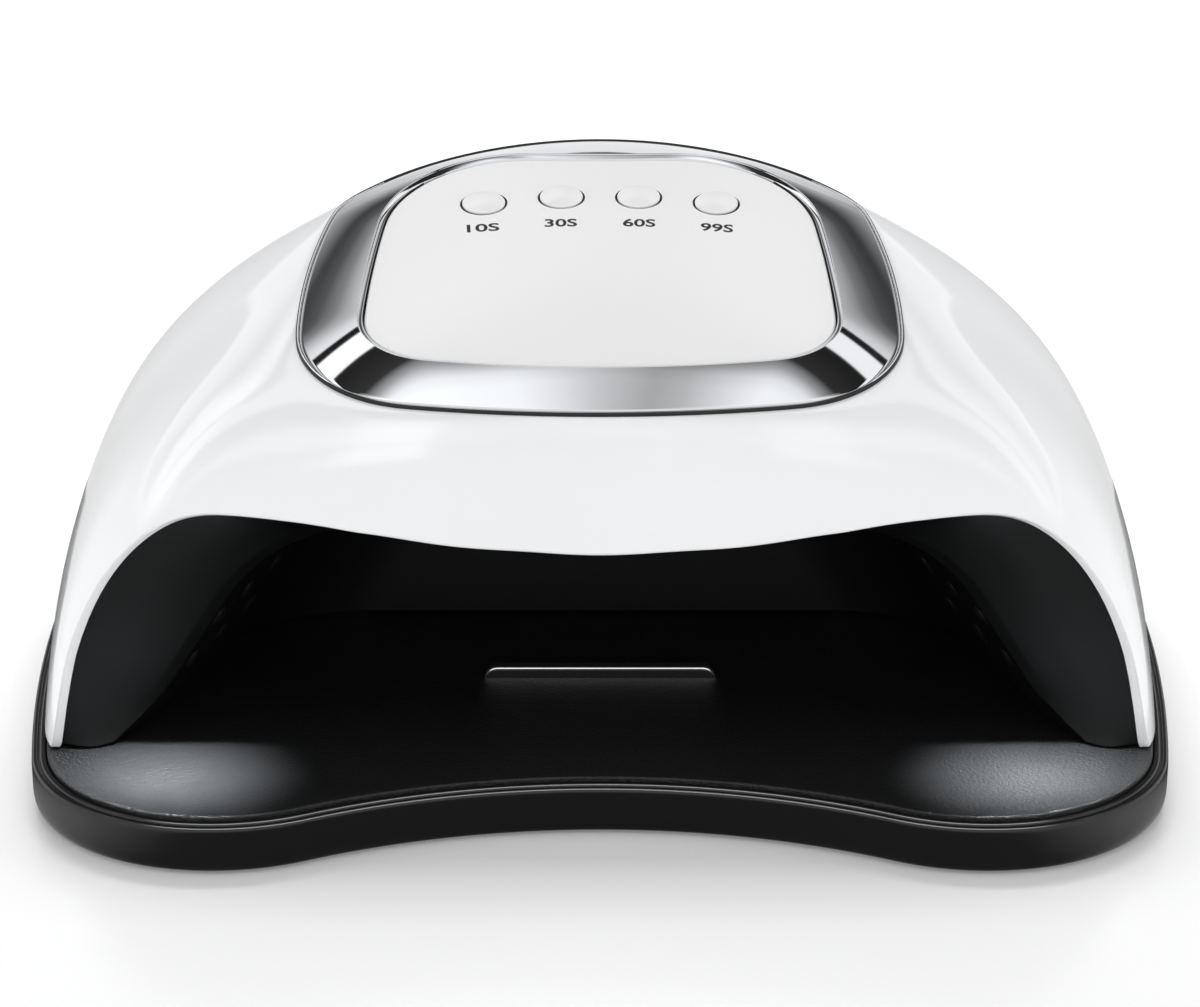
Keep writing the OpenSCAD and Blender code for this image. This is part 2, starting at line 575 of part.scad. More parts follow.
// On the right side wall: x along the wall to the rear, y up the slope
module on_right_wall() {
    translate([cavity_half_w, -mouth_y, floor_h]) rotate([0, 0, side_yaw]) rotate([0, -side_rise, 0])
        rotate([90, 0, 90]) children();
}
module on_left_wall() {
    mirror([1, 0, 0]) on_right_wall() children();
}
module on_ceiling() {
    translate([0, 0, ceiling_h]) children();
}
// On the rear wall: x across, y up
module on_rear_wall() {
    translate([0, rear_wall_y, floor_h]) rotate([90, 0, 180]) children();
}
ceiling_lamps = [for (x = [-1.5:1.5], y = [0:2]) [x * ceiling_pitch_x, -47 + y * ceiling_pitch_y]];
side_lamps = [for (x = [0:2], y = [0:1]) [13 + x * side_pitch, 17 + y * 13]];
rear_lamps = [for (x = [-1.5:1.5]) [x * rear_pitch, 25]];
ceiling_posts = [for (x = [-1, 1], y = [0.5, 1.5]) [x * ceiling_pitch_x, -47 + y * ceiling_pitch_y]];
side_posts = [for (x = [0.5, 1.5]) [13 + x * side_pitch, 23.5]];
rear_posts = both(rear_pitch, 25);
lens_r = lens_d / 2;
screw_r = 0.8;
module lens_hole() {
    translate([0, 0, -3]) cylinder(r = lens_r + fit_gap, h = liner_t + 6, $fn = 32);
}
module standoff() {
    translate([0, 0, liner_t / 2]) cylinder(r = 2.2, h = liner_t / 2 + standoff_h, $fn = 24);
}
module standoff_hole() {
    translate([0, 0, liner_t * 0.8]) cylinder(r = screw_r + thread_gap, h = standoff_h + 2, $fn = 16);
}
sensor_spot = [0, -51];
module inner_liner() {
    color(black) difference() {
        union() {
            wall_solid(both_halves(near_half), both_halves(far_half),
                [0, rear_wall_y, liner_foot_z], [0, rear_wall_y + liner_t, liner_foot_z]);
            on_ceiling() for (s = ceiling_posts) translate(s) standoff();
            on_rear_wall() for (s = rear_posts) translate(s) standoff();
            on_right_wall() for (s = side_posts) translate(s) standoff();
            on_left_wall() for (s = side_posts) translate(s) standoff();
        }
        on_ceiling() for (s = ceiling_lamps) translate(s) lens_hole();
        on_ceiling() translate(sensor_spot) lens_hole();
        on_rear_wall() for (s = rear_lamps) translate(s) lens_hole();
        on_right_wall() for (s = side_lamps) translate(s) lens_hole();
        on_left_wall() for (s = side_lamps) translate(s) lens_hole();
        on_ceiling() for (s = ceiling_posts) translate(s) standoff_hole();
        on_rear_wall() for (s = rear_posts) translate(s) standoff_hole();
        on_right_wall() for (s = side_posts) translate(s) standoff_hole();
        on_left_wall() for (s = side_posts) translate(s) standoff_hole();
    }
}

// Bottom frame: a horseshoe plate between the shell and the liner
frame_inset = shell_t + 1.2;
frame_angles = [for (i = [0:40]) mix(leg_a + 8, 180, i / 40)];
frame_half = [for (a = frame_angles) let (p = polar(reach(foot_arcs, frame_inset, a), a, 0)) [p.x, p.y]];
function frame_inner(y, off) = let (p = cavity_point(y, off + liner_t + 0.6, 1)) [p.x, p.y];
inner_half = concat([frame_inner(-52, 0.8), frame_inner(rear_y, 0.8)],
    [for (c = [22.5:22.5:90]) let (r = rear_r + liner_t + 1.4)
        frame_inner(rear_y + r * sin(c), r * cos(c) - rear_r - liner_t - 0.6)],
    [[0, rear_wall_y + liner_t + 1.4]]);
function flip_flat(points) = [for (i = [len(points) - 1:-1:0]) [-points[i].x, points[i].y]];
frame_outline = concat(frame_half, flip_flat(frame_half), [for (p = inner_half) [-p.x, p.y]],
    [for (i = [len(inner_half) - 2:-1:0]) inner_half[i]]);
pad_spots = concat(both(half_w - 29.4, 12), both(half_w * 0.27, tray_rear - 36.8));
module bottom_frame() {
    color(black) difference() {
        translate([0, 0, frame_z]) linear_extrude(frame_t) polygon(frame_outline);
        at(post_spots, frame_z - 1) cylinder(r = case_screw_r + 0.3, h = frame_t + 2, $fn = 24);
        at(keeper_spots, frame_z - 1) cylinder(d = magnet_d + fit_gap, h = magnet_h + 1.05, $fn = 32);
        at(both(8, socket_y - 4), frame_z - 1) cylinder(r = screw_r + thread_gap, h = frame_t + 2, $fn = 16);
    }
}
module support_pads() {
    pad_z = floor_h + seat_gap / 2;
    color("#232425") at(pad_spots, pad_z) cylinder(d = 10, h = frame_z - pad_z, $fn = 32);
}
module magnets() {
    color("silver") at(keeper_spots, frame_z) cylinder(d = magnet_d, h = magnet_h, $fn = 32);
}
// A pan head screw with its head below the origin and its shank upwards
module pan_screw(r, l, head_r, head_h) {
    translate([0, 0, -head_h]) cylinder(r = head_r, h = head_h, $fn = 24);
    cylinder(r = r, h = l, $fn = 24);
}
module case_screws() {
    color("silver") at(post_spots, frame_z) pan_screw(case_screw_r, 12, 2.6, 1.4);
}

// Control board under the panel, with its switches and the display
module control_board() {
    color(board_green) on_slope() difference() {
        translate([-control_w / 2, 22, board_w - board_t]) cube([control_w, control_l, board_t]);
        at(boss_spots, board_w - board_t - 1) cylinder(r = 1.2, h = board_t + 2, $fn = 24);
    }
}
module board_screws() {
    color("silver") on_slope() at(boss_spots, board_w - board_t) pan_screw(1, 5, 2, 1.2);
}
switch_z = board_w + switch_h;
plunger_out = 1.1;
plunger_r = 1.7;
module switch_bodies() {
    color("#303236") on_slope() for (s = button_spots) difference() {
        translate([s.x - 3, s.y - 3, board_w]) cube([6, 6, switch_h]);
        translate([s.x, s.y, switch_z - 1.8]) cylinder(r = plunger_r + 0.08, h = 3, $fn = 32);
    }
}
module plunger(i) {
    color("#8a6f4d") on_slope() translate([button_spots[i].x, button_spots[i].y, switch_z - 1.2])
        cylinder(r = plunger_r, h = 1.2 + plunger_out, $fn = 32);
}
module button(i) {
    s = button_spots[i];
    r = button_d / 2;
    foot = switch_z + plunger_out;
    collar = s.z - panel_t - 0.4;
    crown = s.z + button_out;
    color(white) on_slope() translate([s.x, s.y, 0]) {
        rotate_extrude($fn = 48) polygon([[0, foot], [2, foot], [2, collar - 1], [r + 0.9, collar - 1],
            [r + 0.9, collar], [r, collar], [r, crown - 0.3], [r - 0.35, crown], [0, crown]]);
    }
}
module display_module() {
    color("#101114") on_slope()
        translate([-display_w / 2, 32, board_w]) cube([display_w, display_l, display_h]);
}

// Lamp boards, chips and lenses, drawn in the wall frames
board_off = liner_t + standoff_h;
module lamp_board(lamps, edge, posts) {
    low = lamps[0] - [edge, edge];
    size = lamps[len(lamps) - 1] + [edge, edge] - low;
    color("#d8dad8") difference() {
        translate([low.x, low.y, board_off]) cube([size.x, size.y, board_t]);
        at(posts, board_off - 1) cylinder(r = screw_r + 0.2, h = board_t + 2, $fn = 16);
    }
}
module chips(spots) {
    color("#e8dca0") for (s = spots) translate([s.x - 1.4, s.y - 1.4, board_off - 0.9]) cube([2.8, 2.8, 0.9]);
}
module lenses(spots) {
    color("#dfe6ee") for (s = spots) translate([s.x, s.y, 0]) {
        translate([0, 0, -1]) cylinder(r1 = lens_r * 0.6, r2 = lens_r, h = 1, $fn = 32);
        cylinder(r = lens_r, h = liner_t + 0.1, $fn = 32);
        translate([0, 0, liner_t + 0.1]) cylinder(r = lens_r + 0.8, h = standoff_h - 1.1, $fn = 32);
    }
}
module lamp_screw_set(posts) {
    at(posts, board_off + board_t) mirror([0, 0, 1]) pan_screw(screw_r, board_t + 2, 1.6, 1);
}
module ceiling_board() {
    on_ceiling() lamp_board(ceiling_lamps, board_edge + 1, ceiling_posts);
}
module right_board() {
    on_right_wall() lamp_board(side_lamps, board_edge, side_posts);
}
module left_board() {
    on_left_wall() lamp_board(side_lamps, board_edge, side_posts);
}
module rear_board() {
    on_rear_wall() lamp_board(rear_lamps, board_edge, rear_posts);
}
module lamp_screws() {
    color("silver") {
        on_ceiling() lamp_screw_set(ceiling_posts);
        on_right_wall() lamp_screw_set(side_posts);
        on_left_wall() lamp_screw_set(side_posts);
        on_rear_wall() lamp_screw_set(rear_posts);
    }
}
module hand_sensor() {
    color("#3a1418") on_ceiling() at([sensor_spot], -0.6) cylinder(r = lens_r, h = board_off + 0.6, $fn = 32);
}

// Power socket at the rear, with its centre pin
socket_y = 92;
nose_y = reach(foot_arcs, 0, 180) - 1.2;
module power_socket() {
    color(black) difference() {
        union() {
            translate([-6, socket_y, deck_z]) cube([12, 12, 12.2]);
            for (x = [-1, 1]) translate([x * 8 - 3, socket_y - 7, deck_z]) cube([6, 9, 1.6]);
            translate([-6, socket_y - 7, deck_z]) cube([12, 8, 1.6]);
            translate([0, socket_y + 11, socket_z]) rotate([-90, 0, 0])
                cylinder(d = socket_d, h = nose_y - socket_y - 11, $fn = 48);
        }
        translate([0, nose_y - 9.5, socket_z]) rotate([-90, 0, 0]) cylinder(d = socket_d - 2.2, h = 12, $fn = 48);
        at(both(8, socket_y - 4), deck_z - 1) cylinder(r = screw_r + 0.2, h = 4, $fn = 16);
    }
}
module socket_pin() {
    color("silver") translate([0, nose_y - 9.5, socket_z]) rotate([-90, 0, 0])
        cylinder(r = pin_r, h = 8.5, $fn = 32);
}
module socket_screws() {
    color("silver") at(both(8, socket_y - 4), deck_z + 1.6) mirror([0, 0, 1]) pan_screw(screw_r, 3.6, 1.6, 1);
}
lead_r = 1.2;
function under_board(x, v, below) = let (w = board_w - board_t - below)
    [x, slope_to_y(v, w), ring_front_h + v * sin(ring_tilt) + w * cos(ring_tilt)];
function wall_point(x, y, z) = let (out = z * cos(side_rise) - y * sin(side_rise))
    [cavity_half_w + out * cos(side_yaw) - x * sin(side_yaw),
     out * sin(side_yaw) + x * cos(side_yaw) - mouth_y,
     floor_h + z * sin(side_rise) + y * cos(side_rise)];
board_back = board_off + board_t;
power_path = [[0, socket_y, deck_z + 8.6], [0, socket_y - 5, deck_z + 8.6], [0, 80, 34], [1, 76, 50], [2, 70, 70],
    [2, 58, 84], [1, 44, 92], under_board(0, 90, 5), under_board(0, 90, 0)];
ceiling_path = [[10, -24, ceiling_h + board_back], [10, -24, ceiling_h + board_back + 4], [12, -14, 76], [14, -6, 82],
    under_board(15, 66, 5), under_board(15, 66, 0)];
rear_path = [[-14, rear_wall_y + board_back, 35], [-14, rear_wall_y + board_back + 4, 35], [-14, 25, 46], [-14, 26, 66],
    [-14, 24, 82], under_board(-14, 82, 5), under_board(-14, 82, 0)];
side_path = [wall_point(24, 33, board_back), wall_point(24, 33, board_back + 4),
    [cavity_half_w - 12.4, -34, 54], [cavity_half_w - 20.4, -20, 66], [62, -2, 77],
    [40, 6, 83], under_board(24, 70, 5), under_board(24, 70, 0)];
module power_lead() {
    color("#2b2b2b") lead(power_path, lead_r);
}
module lamp_leads() {
    color("#a03030") {
        lead(ceiling_path, lead_r);
        lead(rear_path, lead_r);
        lead(side_path, lead_r);
        mirror([1, 0, 0]) lead(side_path, lead_r);
    }
}

tray_frame();
floor_plate();
finger_bar();
tray_feet();
keeper_discs();
outer_shell();
chrome_ring();
top_panel();
inner_liner();
bottom_frame();
support_pads();
magnets();
case_screws();
control_board();
board_screws();
switch_bodies();
display_module();
ceiling_board();
left_board();
right_board();
rear_board();
on_ceiling() chips(ceiling_lamps);  // ceiling_chips
on_left_wall() chips(side_lamps);  // left_chips
on_right_wall() chips(side_lamps);  // right_chips
on_rear_wall() chips(rear_lamps);  // rear_chips
on_ceiling() lenses(ceiling_lamps);  // ceiling_lenses
on_left_wall() lenses(side_lamps);  // left_lenses
on_right_wall() lenses(side_lamps);  // right_lenses
on_rear_wall() lenses(rear_lamps);  // rear_lenses
lamp_screws();
hand_sensor();
power_socket();
socket_pin();
socket_screws();
power_lead();
lamp_leads();
button(0);  // button_10
button(1);  // button_30
button(2);  // button_60
button(3);  // button_99
plunger(0);  // plunger_10
plunger(1);  // plunger_30
plunger(2);  // plunger_60
plunger(3);  // plunger_99
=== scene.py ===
# Nail lamp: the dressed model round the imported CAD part.
# Lengths are millimetres in the CAD part's own frame, up to the studio; toMesh turns them into metres.
import math

import bmesh
import bpy
import numpy as np
from mathutils import Matrix, Vector


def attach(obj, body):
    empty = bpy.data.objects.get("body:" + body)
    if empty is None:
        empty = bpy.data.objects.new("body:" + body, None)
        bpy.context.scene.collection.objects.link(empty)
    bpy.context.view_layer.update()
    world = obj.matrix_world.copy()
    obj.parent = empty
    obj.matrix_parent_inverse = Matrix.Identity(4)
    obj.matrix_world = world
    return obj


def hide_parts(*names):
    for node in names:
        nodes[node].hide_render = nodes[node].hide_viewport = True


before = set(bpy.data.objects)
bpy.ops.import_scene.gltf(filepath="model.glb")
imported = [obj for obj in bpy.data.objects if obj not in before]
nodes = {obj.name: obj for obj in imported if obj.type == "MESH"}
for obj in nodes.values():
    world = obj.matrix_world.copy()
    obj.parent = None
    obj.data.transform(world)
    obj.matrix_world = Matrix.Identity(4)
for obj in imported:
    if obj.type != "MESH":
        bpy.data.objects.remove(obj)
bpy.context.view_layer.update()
print("frame loaded:", len(nodes), "CAD nodes")

mm = 0.001
scene = bpy.context.scene
scene.view_settings.view_transform = "Standard"


# Materials

# #rrggbb as Blender's linear colour
def linear(code):
    parts = [int(code[i:i + 2], 16) / 255 for i in (1, 3, 5)]
    return [c / 12.92 if c <= 0.04045 else ((c + 0.055) / 1.055) ** 2.4 for c in parts] + [1.0]


def perMm(size):
    return 1000 / size  # a texture's scale for features of that many millimetres


# Adds a node of that kind; an input takes a value, a socket, or a node for its first output in use
def addNode(tree, kind, inputs=None, **settings):
    node = tree.nodes.new(("GeometryNode" if tree.type == "GEOMETRY" else "ShaderNode") + kind)
    for key, value in settings.items():
        setattr(node, key, value)
    for key, value in (inputs or {}).items():
        if isinstance(value, bpy.types.Node):
            value = next(output for output in value.outputs if output.enabled)
        if isinstance(value, bpy.types.NodeSocket):
            tree.links.new(value, node.inputs[key])
        else:
            node.inputs[key].default_value = value
    return node


def newMaterial(name):
    mat = bpy.data.materials.new(name)
    mat.use_nodes = True
    mat.node_tree.nodes.clear()
    return mat, mat.node_tree


# A finish from dark to light in a faint mottle of that size, its roughness spread a little; grain is
# [size, depth], and leather adds cells to it
def finish(name, dark, light, roughness, mottle=2.0, spread=0.03, metallic=0.0, ior=1.5, grain=None,
           leather=False, transmission=0.0):
    mat, tree = newMaterial(name)
    where = addNode(tree, "TexCoord").outputs["Object"]
    cloud = addNode(tree, "TexNoise", {"Vector": where, "Scale": perMm(mottle), "Detail": 3.0})
    colour = addNode(tree, "Mix", {"Factor": cloud, "A": linear(dark), "B": linear(light)}, data_type="RGBA")
    rough = addNode(tree, "MapRange", {"Value": cloud, "To Min": max(0.0, roughness - spread),
                    "To Max": roughness + spread})
    looks = {"Base Color": colour, "Roughness": rough, "Metallic": metallic, "IOR": ior,
             "Transmission Weight": transmission}
    if grain:
        size, depth = grain
        height = addNode(tree, "TexNoise", {"Vector": where, "Scale": perMm(size * 0.6 if leather else size)})
        if leather:
            cells = addNode(tree, "TexVoronoi", {"Vector": where, "Scale": perMm(size)}, feature="SMOOTH_F1")
            height = addNode(tree, "Math", {0: cells, 1: height})
        looks["Normal"] = addNode(tree, "Bump", {"Height": height, "Distance": depth * mm})
    addNode(tree, "OutputMaterial", {"Surface": addNode(tree, "BsdfPrincipled", looks)})
    return mat


# ABS from polished tools: sharp lamps on the white, a deep mirror on the black
whiteGloss = finish("gloss white ABS", "#eeeff1", "#f3f4f5", 0.09, 60, 0.01)
panelWhite = finish("satin white ABS", "#efefef", "#f4f4f4", 0.22, 40, 0.01)
buttonWhite = finish("button white ABS", "#ededee", "#f3f3f3", 0.18, 8, 0.01)
rimBlack = finish("gloss black ABS", "#060607", "#08080a", 0.2, 30, 0.02)
barBlack = finish("polished black ABS", "#08080a", "#0b0b0d", 0.12, 10, 0.02)
# ABS from etched tools: a broad dull sheen; the liner's etch is drawn coarser than it is, at 0.35 mm, to show
linerBlack = finish("satin black ABS", "#0a0b0b", "#0e0f0f", 0.46, 5, ior=1.36, grain=[0.35, 0.012])
floorBlack = finish("grained black ABS", "#08090a", "#0c0d0e", 0.52, 6, grain=[0.8, 0.16], leather=True)
ledgeBlack = finish("satin black ledge", "#060607", "#08080a", 0.45, 30, ior=1.18)
# Painted shade in the gaps, and the printed numbers: plain black that takes no highlight
paintedShadeBlack = finish("black reveal", "#0a0a0b", "#101011", 0.5, 1)
ink = finish("black pad print", "#101012", "#18181a", 0.4, 1)
# Metals: a near mirror on the ring, softer on screws and magnets
chromePlate = finish("chrome plating", "#d4d6d9", "#dfe1e4", 0.045, 30, 0.01, metallic=1.0)
steel = finish("zinc plated steel", "#a9adb2", "#c3c7cc", 0.3, metallic=1.0)
nickel = finish("nickel plated magnet", "#b9b7b0", "#cac8c2", 0.2, 3, metallic=1.0)
# Boards and their parts: solder mask with a slight orange peel, chalky phosphor, dark clear lenses
greenMask = finish("green solder mask", "#0f4a2c", "#17603a", 0.35, 1.2, grain=[1.5, 0.03])
whiteMask = finish("white solder mask", "#dcdedc", "#eceeec", 0.4, 1.5, grain=[1.5, 0.02])
phosphor = finish("yellow phosphor", "#d8c168", "#e6d488", 0.45, 0.6, grain=[0.3, 0.02])
smokedLens = finish("smoked lens", "#1a1b20", "#202127", 0.3, 4, 0.01, ior=1.45, transmission=0.5)
sensorRed = finish("dark red filter", "#2a0a0e", "#3a1015", 0.15, 2, 0.02)
# Rubber, nylon and lead covers: matt, with hardly a highlight
rubber = finish("black rubber", "#141415", "#1c1c1d", 0.75, 1.5, grain=[0.5, 0.02])
switchBlack = finish("black nylon", "#17181a", "#202124", 0.5, 1, grain=[0.4, 0.01])
plungerBrown = finish("brown nylon", "#7a5f3e", "#8f7350", 0.45, 1)
leadBlack = finish("black PVC", "#151516", "#1f1f20", 0.5)
leadRed = finish("red PVC", "#9a1f1f", "#b02a2a", 0.45)
print("finishes made")


# Meshes

def addObject(name, data):
    obj = bpy.data.objects.new(name, data)
    scene.collection.objects.link(obj)
    return obj


# The object's mesh with its modifiers applied
def evaluated(obj):
    bpy.context.view_layer.update()
    return bpy.data.meshes.new_from_object(obj.evaluated_get(bpy.context.evaluated_depsgraph_get()))


def rawMesh(name, points, edges=(), faces=()):
    mesh = bpy.data.meshes.new(name)
    points = [tuple(p) for p in np.asarray(points, float) * mm]
    mesh.from_pydata(points, edges, [tuple(int(i) for i in f) for f in faces])
    return mesh


# Merges doubles, keeps hard edges hard, and gives the mesh its finish and an object of that name
def dress(name, mesh, mat, smooth=38.0, recalc=False):
    work = bmesh.new()
    work.from_mesh(mesh)
    bmesh.ops.remove_doubles(work, verts=work.verts, dist=1e-7)
    if recalc:
        bmesh.ops.recalc_face_normals(work, faces=work.faces)
    for f in work.faces:
        f.smooth, f.material_index = True, 0
    for e in work.edges:
        if len(e.link_faces) == 2:
            e.smooth = e.calc_face_angle(0.0) < math.radians(smooth)
    work.to_mesh(mesh)
    work.free()
    mesh.materials.clear()
    mesh.materials.append(mat)
    obj = bpy.data.objects.get(name)
    if obj is None:
        return addObject(name, mesh)
    obj.data = mesh
    return obj


def toMesh(name, points, faces, mat, smooth=38.0):
    return dress(name, rawMesh(name, points, faces=faces), mat, smooth, True)


# One plain mesh of several shapes, each (points, faces)
def joined(name, shapes, mat, smooth=38.0):
    allPoints, allFaces = [], []
    for points, faces in shapes:
        allFaces += [[i + len(allPoints) for i in f] for f in faces]
        allPoints += list(points)
    return toMesh(name, allPoints, allFaces, mat, smooth)


def moved(points, matrix):
    m = np.array(matrix)
    return np.asarray(points, float) @ m[:3, :3].T + m[:3, 3]


def many(name, shape, matrices, mat=switchBlack):
    return joined(name, [(moved(shape[0], m), shape[1]) for m in matrices], mat)


# Quads of n sections of m points; sections, and points, may close on themselves
def gridFaces(n, m, sectionsClose=True, pointsClose=False):
    i, j = np.meshgrid(np.arange(n - 1 + sectionsClose), np.arange(m - 1 + pointsClose), indexing="ij")
    i2, j2 = (i + 1) % n, (j + 1) % m
    return np.stack([i * m + j, i2 * m + j, i2 * m + j2, i * m + j2], -1).reshape(-1, 4).tolist()


# Quads of n closed sections of m points, with a pole before the first and after the last point
def discFaces(n, m):
    low = [(n * m, ((k + 1) % n) * m, k * m) for k in range(n)]
    high = [(k * m + m - 1, ((k + 1) % n) * m + m - 1, n * m + 1) for k in range(n)]
    return gridFaces(n, m) + low + high


# A turned solid about Z; the profile of (radius, z) runs from the axis to the axis
def lathe(profile, sides=64):
    inner = [p for p in profile if p[0] > 1e-6]
    turn = np.linspace(0, 2 * math.pi, sides, endpoint=False)
    points = [(r * math.cos(t), r * math.sin(t), z) for t in turn for r, z in inner]
    return np.array(points + [(0, 0, profile[0][1]), (0, 0, profile[-1][1])]), discFaces(sides, len(inner))


def cylinder(radius, low, high, sides=96):
    return lathe([(0, low), (radius, low), (radius, high), (0, high)], sides)


# An upright solid on an outline of (x, y)
def prism(outline, low, high):
    n = len(outline)
    walls = [(i, (i + 1) % n, n + (i + 1) % n, n + i) for i in range(n)]
    return np.array([(x, y, z) for z in (low, high) for x, y in outline]), [range(n), range(n, 2 * n)] + walls


# Takes the cutters' volume out of obj, then removes them
def cut(obj, cutters):
    mat = obj.data.materials[0]
    for c in cutters:
        mod = obj.modifiers.new("cut", "BOOLEAN")
        mod.operation, mod.solver, mod.object = "DIFFERENCE", "EXACT", c
    done = evaluated(obj)
    obj.modifiers.clear()
    for c in cutters:
        bpy.data.objects.remove(c)
    return dress(obj.name, done, mat)


def shift(x, y, z=0.0):
    return Matrix.Translation((x, y, z))


def turned(degrees, axis):
    return Matrix.Rotation(math.radians(degrees), 4, axis)


# Geometry Nodes

# A tree whose inputs are geometry, an object, that object's size and a finish
def newTree(name, thing, size):
    tree = bpy.data.node_groups.new(name, "GeometryNodeTree")
    keys = {}
    for label, kind in (("Geometry", "Geometry"), (thing, "Object"), (size, "Float"), ("Finish", "Material")):
        socket = tree.interface.new_socket(label, in_out="INPUT", socket_type="NodeSocket" + kind)
        keys[label] = socket.identifier
    tree.interface.new_socket("Geometry", in_out="OUTPUT", socket_type="NodeSocketGeometry")
    return tree, keys, tree.nodes.new("NodeGroupInput").outputs


# Every tree ends in real meshes with their finish
def endTree(tree, shapes, mat):
    real = addNode(tree, "RealizeInstances", {"Geometry": shapes})
    painted = addNode(tree, "SetMaterial", {"Geometry": real, "Material": mat})
    tree.links.new(painted.outputs["Geometry"], tree.nodes.new("NodeGroupOutput").inputs["Geometry"])


# Puts the tree on the carrier, sets its inputs, and returns the result as one plain mesh
def runTree(name, tree, keys, carrier, values, mat):
    mod = carrier.modifiers.new(name, "NODES")
    mod.node_group = tree
    for label, value in values.items():
        mod[keys[label]] = value
    made = evaluated(carrier)
    bpy.data.objects.remove(carrier)
    return dress(name, made, mat, recalc=True)


# Copies of one fitting at the marked spots, each turned as its spot says
fittingTree, fittingKeys, given = newTree("fittings at spots", "Fitting", "Size")
turnOf = addNode(fittingTree, "InputNamedAttribute", {"Name": "turn"}, data_type="FLOAT_VECTOR")
fitting = addNode(fittingTree, "ObjectInfo", {"Object": given["Fitting"], "As Instance": True})
copies = addNode(fittingTree, "InstanceOnPoints", {
    "Points": given["Geometry"], "Instance": fitting.outputs["Geometry"], "Rotation": turnOf,
    "Scale": given["Size"]})
endTree(fittingTree, copies, given["Finish"])


# One piece made of the shape at every matrix
def fittings(name, shape, matrices, mat):
    proto = toMesh(name + "Proto", shape[0], shape[1], mat)
    mesh = rawMesh(name + "Spots", [m.translation for m in matrices])
    turns = mesh.attributes.new("turn", "FLOAT_VECTOR", "POINT")
    turns.data.foreach_set("vector", [v for m in matrices for v in m.to_euler()])
    made = runTree(name, fittingTree, fittingKeys, addObject(name + "Spots", mesh),
                   {"Fitting": proto, "Size": 1.0, "Finish": mat}, mat)
    bpy.data.objects.remove(proto)
    return made


# A section swept along a closed outline, square to it and upright
sweepTree, sweepKeys, given = newTree("section along outline", "Section", "Section size")
path = addNode(sweepTree, "MeshToCurve", {"Mesh": given["Geometry"]})
upright = addNode(sweepTree, "SetCurveNormal", {"Curve": path}, mode="Z_UP")
section = addNode(sweepTree, "ObjectInfo", {"Object": given["Section"]})
sectionCurve = addNode(sweepTree, "MeshToCurve", {"Mesh": section.outputs["Geometry"]})
swept = addNode(sweepTree, "CurveToMesh", {
    "Curve": upright, "Profile Curve": sectionCurve, "Scale": given["Section size"]})
endTree(sweepTree, swept, given["Finish"])


def loopObject(name, points):
    n = len(points)
    return addObject(name, rawMesh(name, points, [(i, (i + 1) % n) for i in range(n)]))


# Outlines, the same as the CAD part's

# half width, widest y, side radius, front corner y and radius, front y, rear corner radius and y, rear y
outlines = {
    "tray": (133.4, 22, 607, -69, 43.8, -92.8, 74, 30, 112.8),
    "foot": (130.4, 22, 604, -65, 22.2, -83.9, 71, 30, 109.8),
    "ring": (68.8, -20.3, 190, -28.2, 29.6, -60.6, 22.4, 15.8, 57.2),
    "opening": (55.0, -33.7, 395, -29.4, 17.9, -50.1, 35.5, 7, 42.3),
}


def mix(a, b, w):
    return a + (b - a) * w


def mixes(a, b, shares):
    return [mix(a, b, w) for w in shares]


# Five arcs [x, y, radius] from the front to the rear; a dip has a negative radius
def arcsOf(halfWidth, wideY, sideR, frontY, frontR, front, rearR, rearY, rear):
    def cornerX(r, y):
        return halfWidth - sideR + math.sqrt((sideR - r) ** 2 - (y - wideY) ** 2)

    def closing(x, depth, r):
        return (x * x + depth * depth - r * r) / (2 * (depth - r))

    frontX, rearX = cornerX(frontR, frontY), cornerX(rearR, rearY)
    dipR, tailR = closing(frontX, frontY - front, frontR), closing(rearX, rear - rearY, rearR)
    return [(0, front + dipR, dipR), (frontX, frontY, frontR), (halfWidth - sideR, wideY, sideR),
            (rearX, rearY, rearR), (0, rear - tailR, tailR)]


arcs = {name: arcsOf(*sizes) for name, sizes in outlines.items()}


# A direction in degrees from the front, brought between -180 and 180
def wrapped(a):
    return (np.asarray(a, float) + 180) % 360 - 180


# Distance from the middle to an outline moved in by inset, in directions a
def reach(name, inset, a):
    b = np.radians(np.abs(wrapped(a)))
    five, found, limits = arcs[name], [], []
    for x, y, r in five:
        along = x * np.sin(b) - y * np.cos(b)
        across = np.sqrt(np.maximum(0, (r - inset) ** 2 - x * x - y * y + along ** 2))
        found.append(along + np.sign(r - inset) * across)
    for p, q in zip(five, five[1:]):
        k = (p[2] - inset) / (p[2] - q[2])
        limits.append(b < np.arctan2(mix(p[0], q[0], k), -mix(p[1], q[1], k)))
    return np.select(limits, found[:4], found[4])


# The same, with the joints of its arcs smoothed over some degrees, so that reflections run on
def eased(name, inset=0, spread=1.6, step=0.25):
    angles = np.arange(-180, 180, step)
    value = reach(name, inset, angles)
    far = int(4 * spread / step)
    weight = np.exp(-0.5 * (np.arange(-far, far + 1) * step / spread) ** 2)
    value = np.convolve(np.concatenate([value[-far:], value, value[:far]]), weight / weight.sum(), "valid")
    return lambda a: np.interp(wrapped(a), np.append(angles, 180), np.append(value, value[0]))


footReach, ringReach, openingReach = eased("foot"), eased("ring"), eased("opening")
panelReach = eased("opening", 1.9)


def polar(r, a, z):
    t = np.radians(a)
    return np.stack(np.broadcast_arrays(r * np.sin(t), -r * np.cos(t), z), -1)


def dot(u, v):
    return (u * v).sum(-1, keepdims=True)


def unit(v):
    return v / np.linalg.norm(v, axis=-1, keepdims=True)


def quarterTurn(count):
    return np.linspace(0, math.pi / 2, count)


# The dome

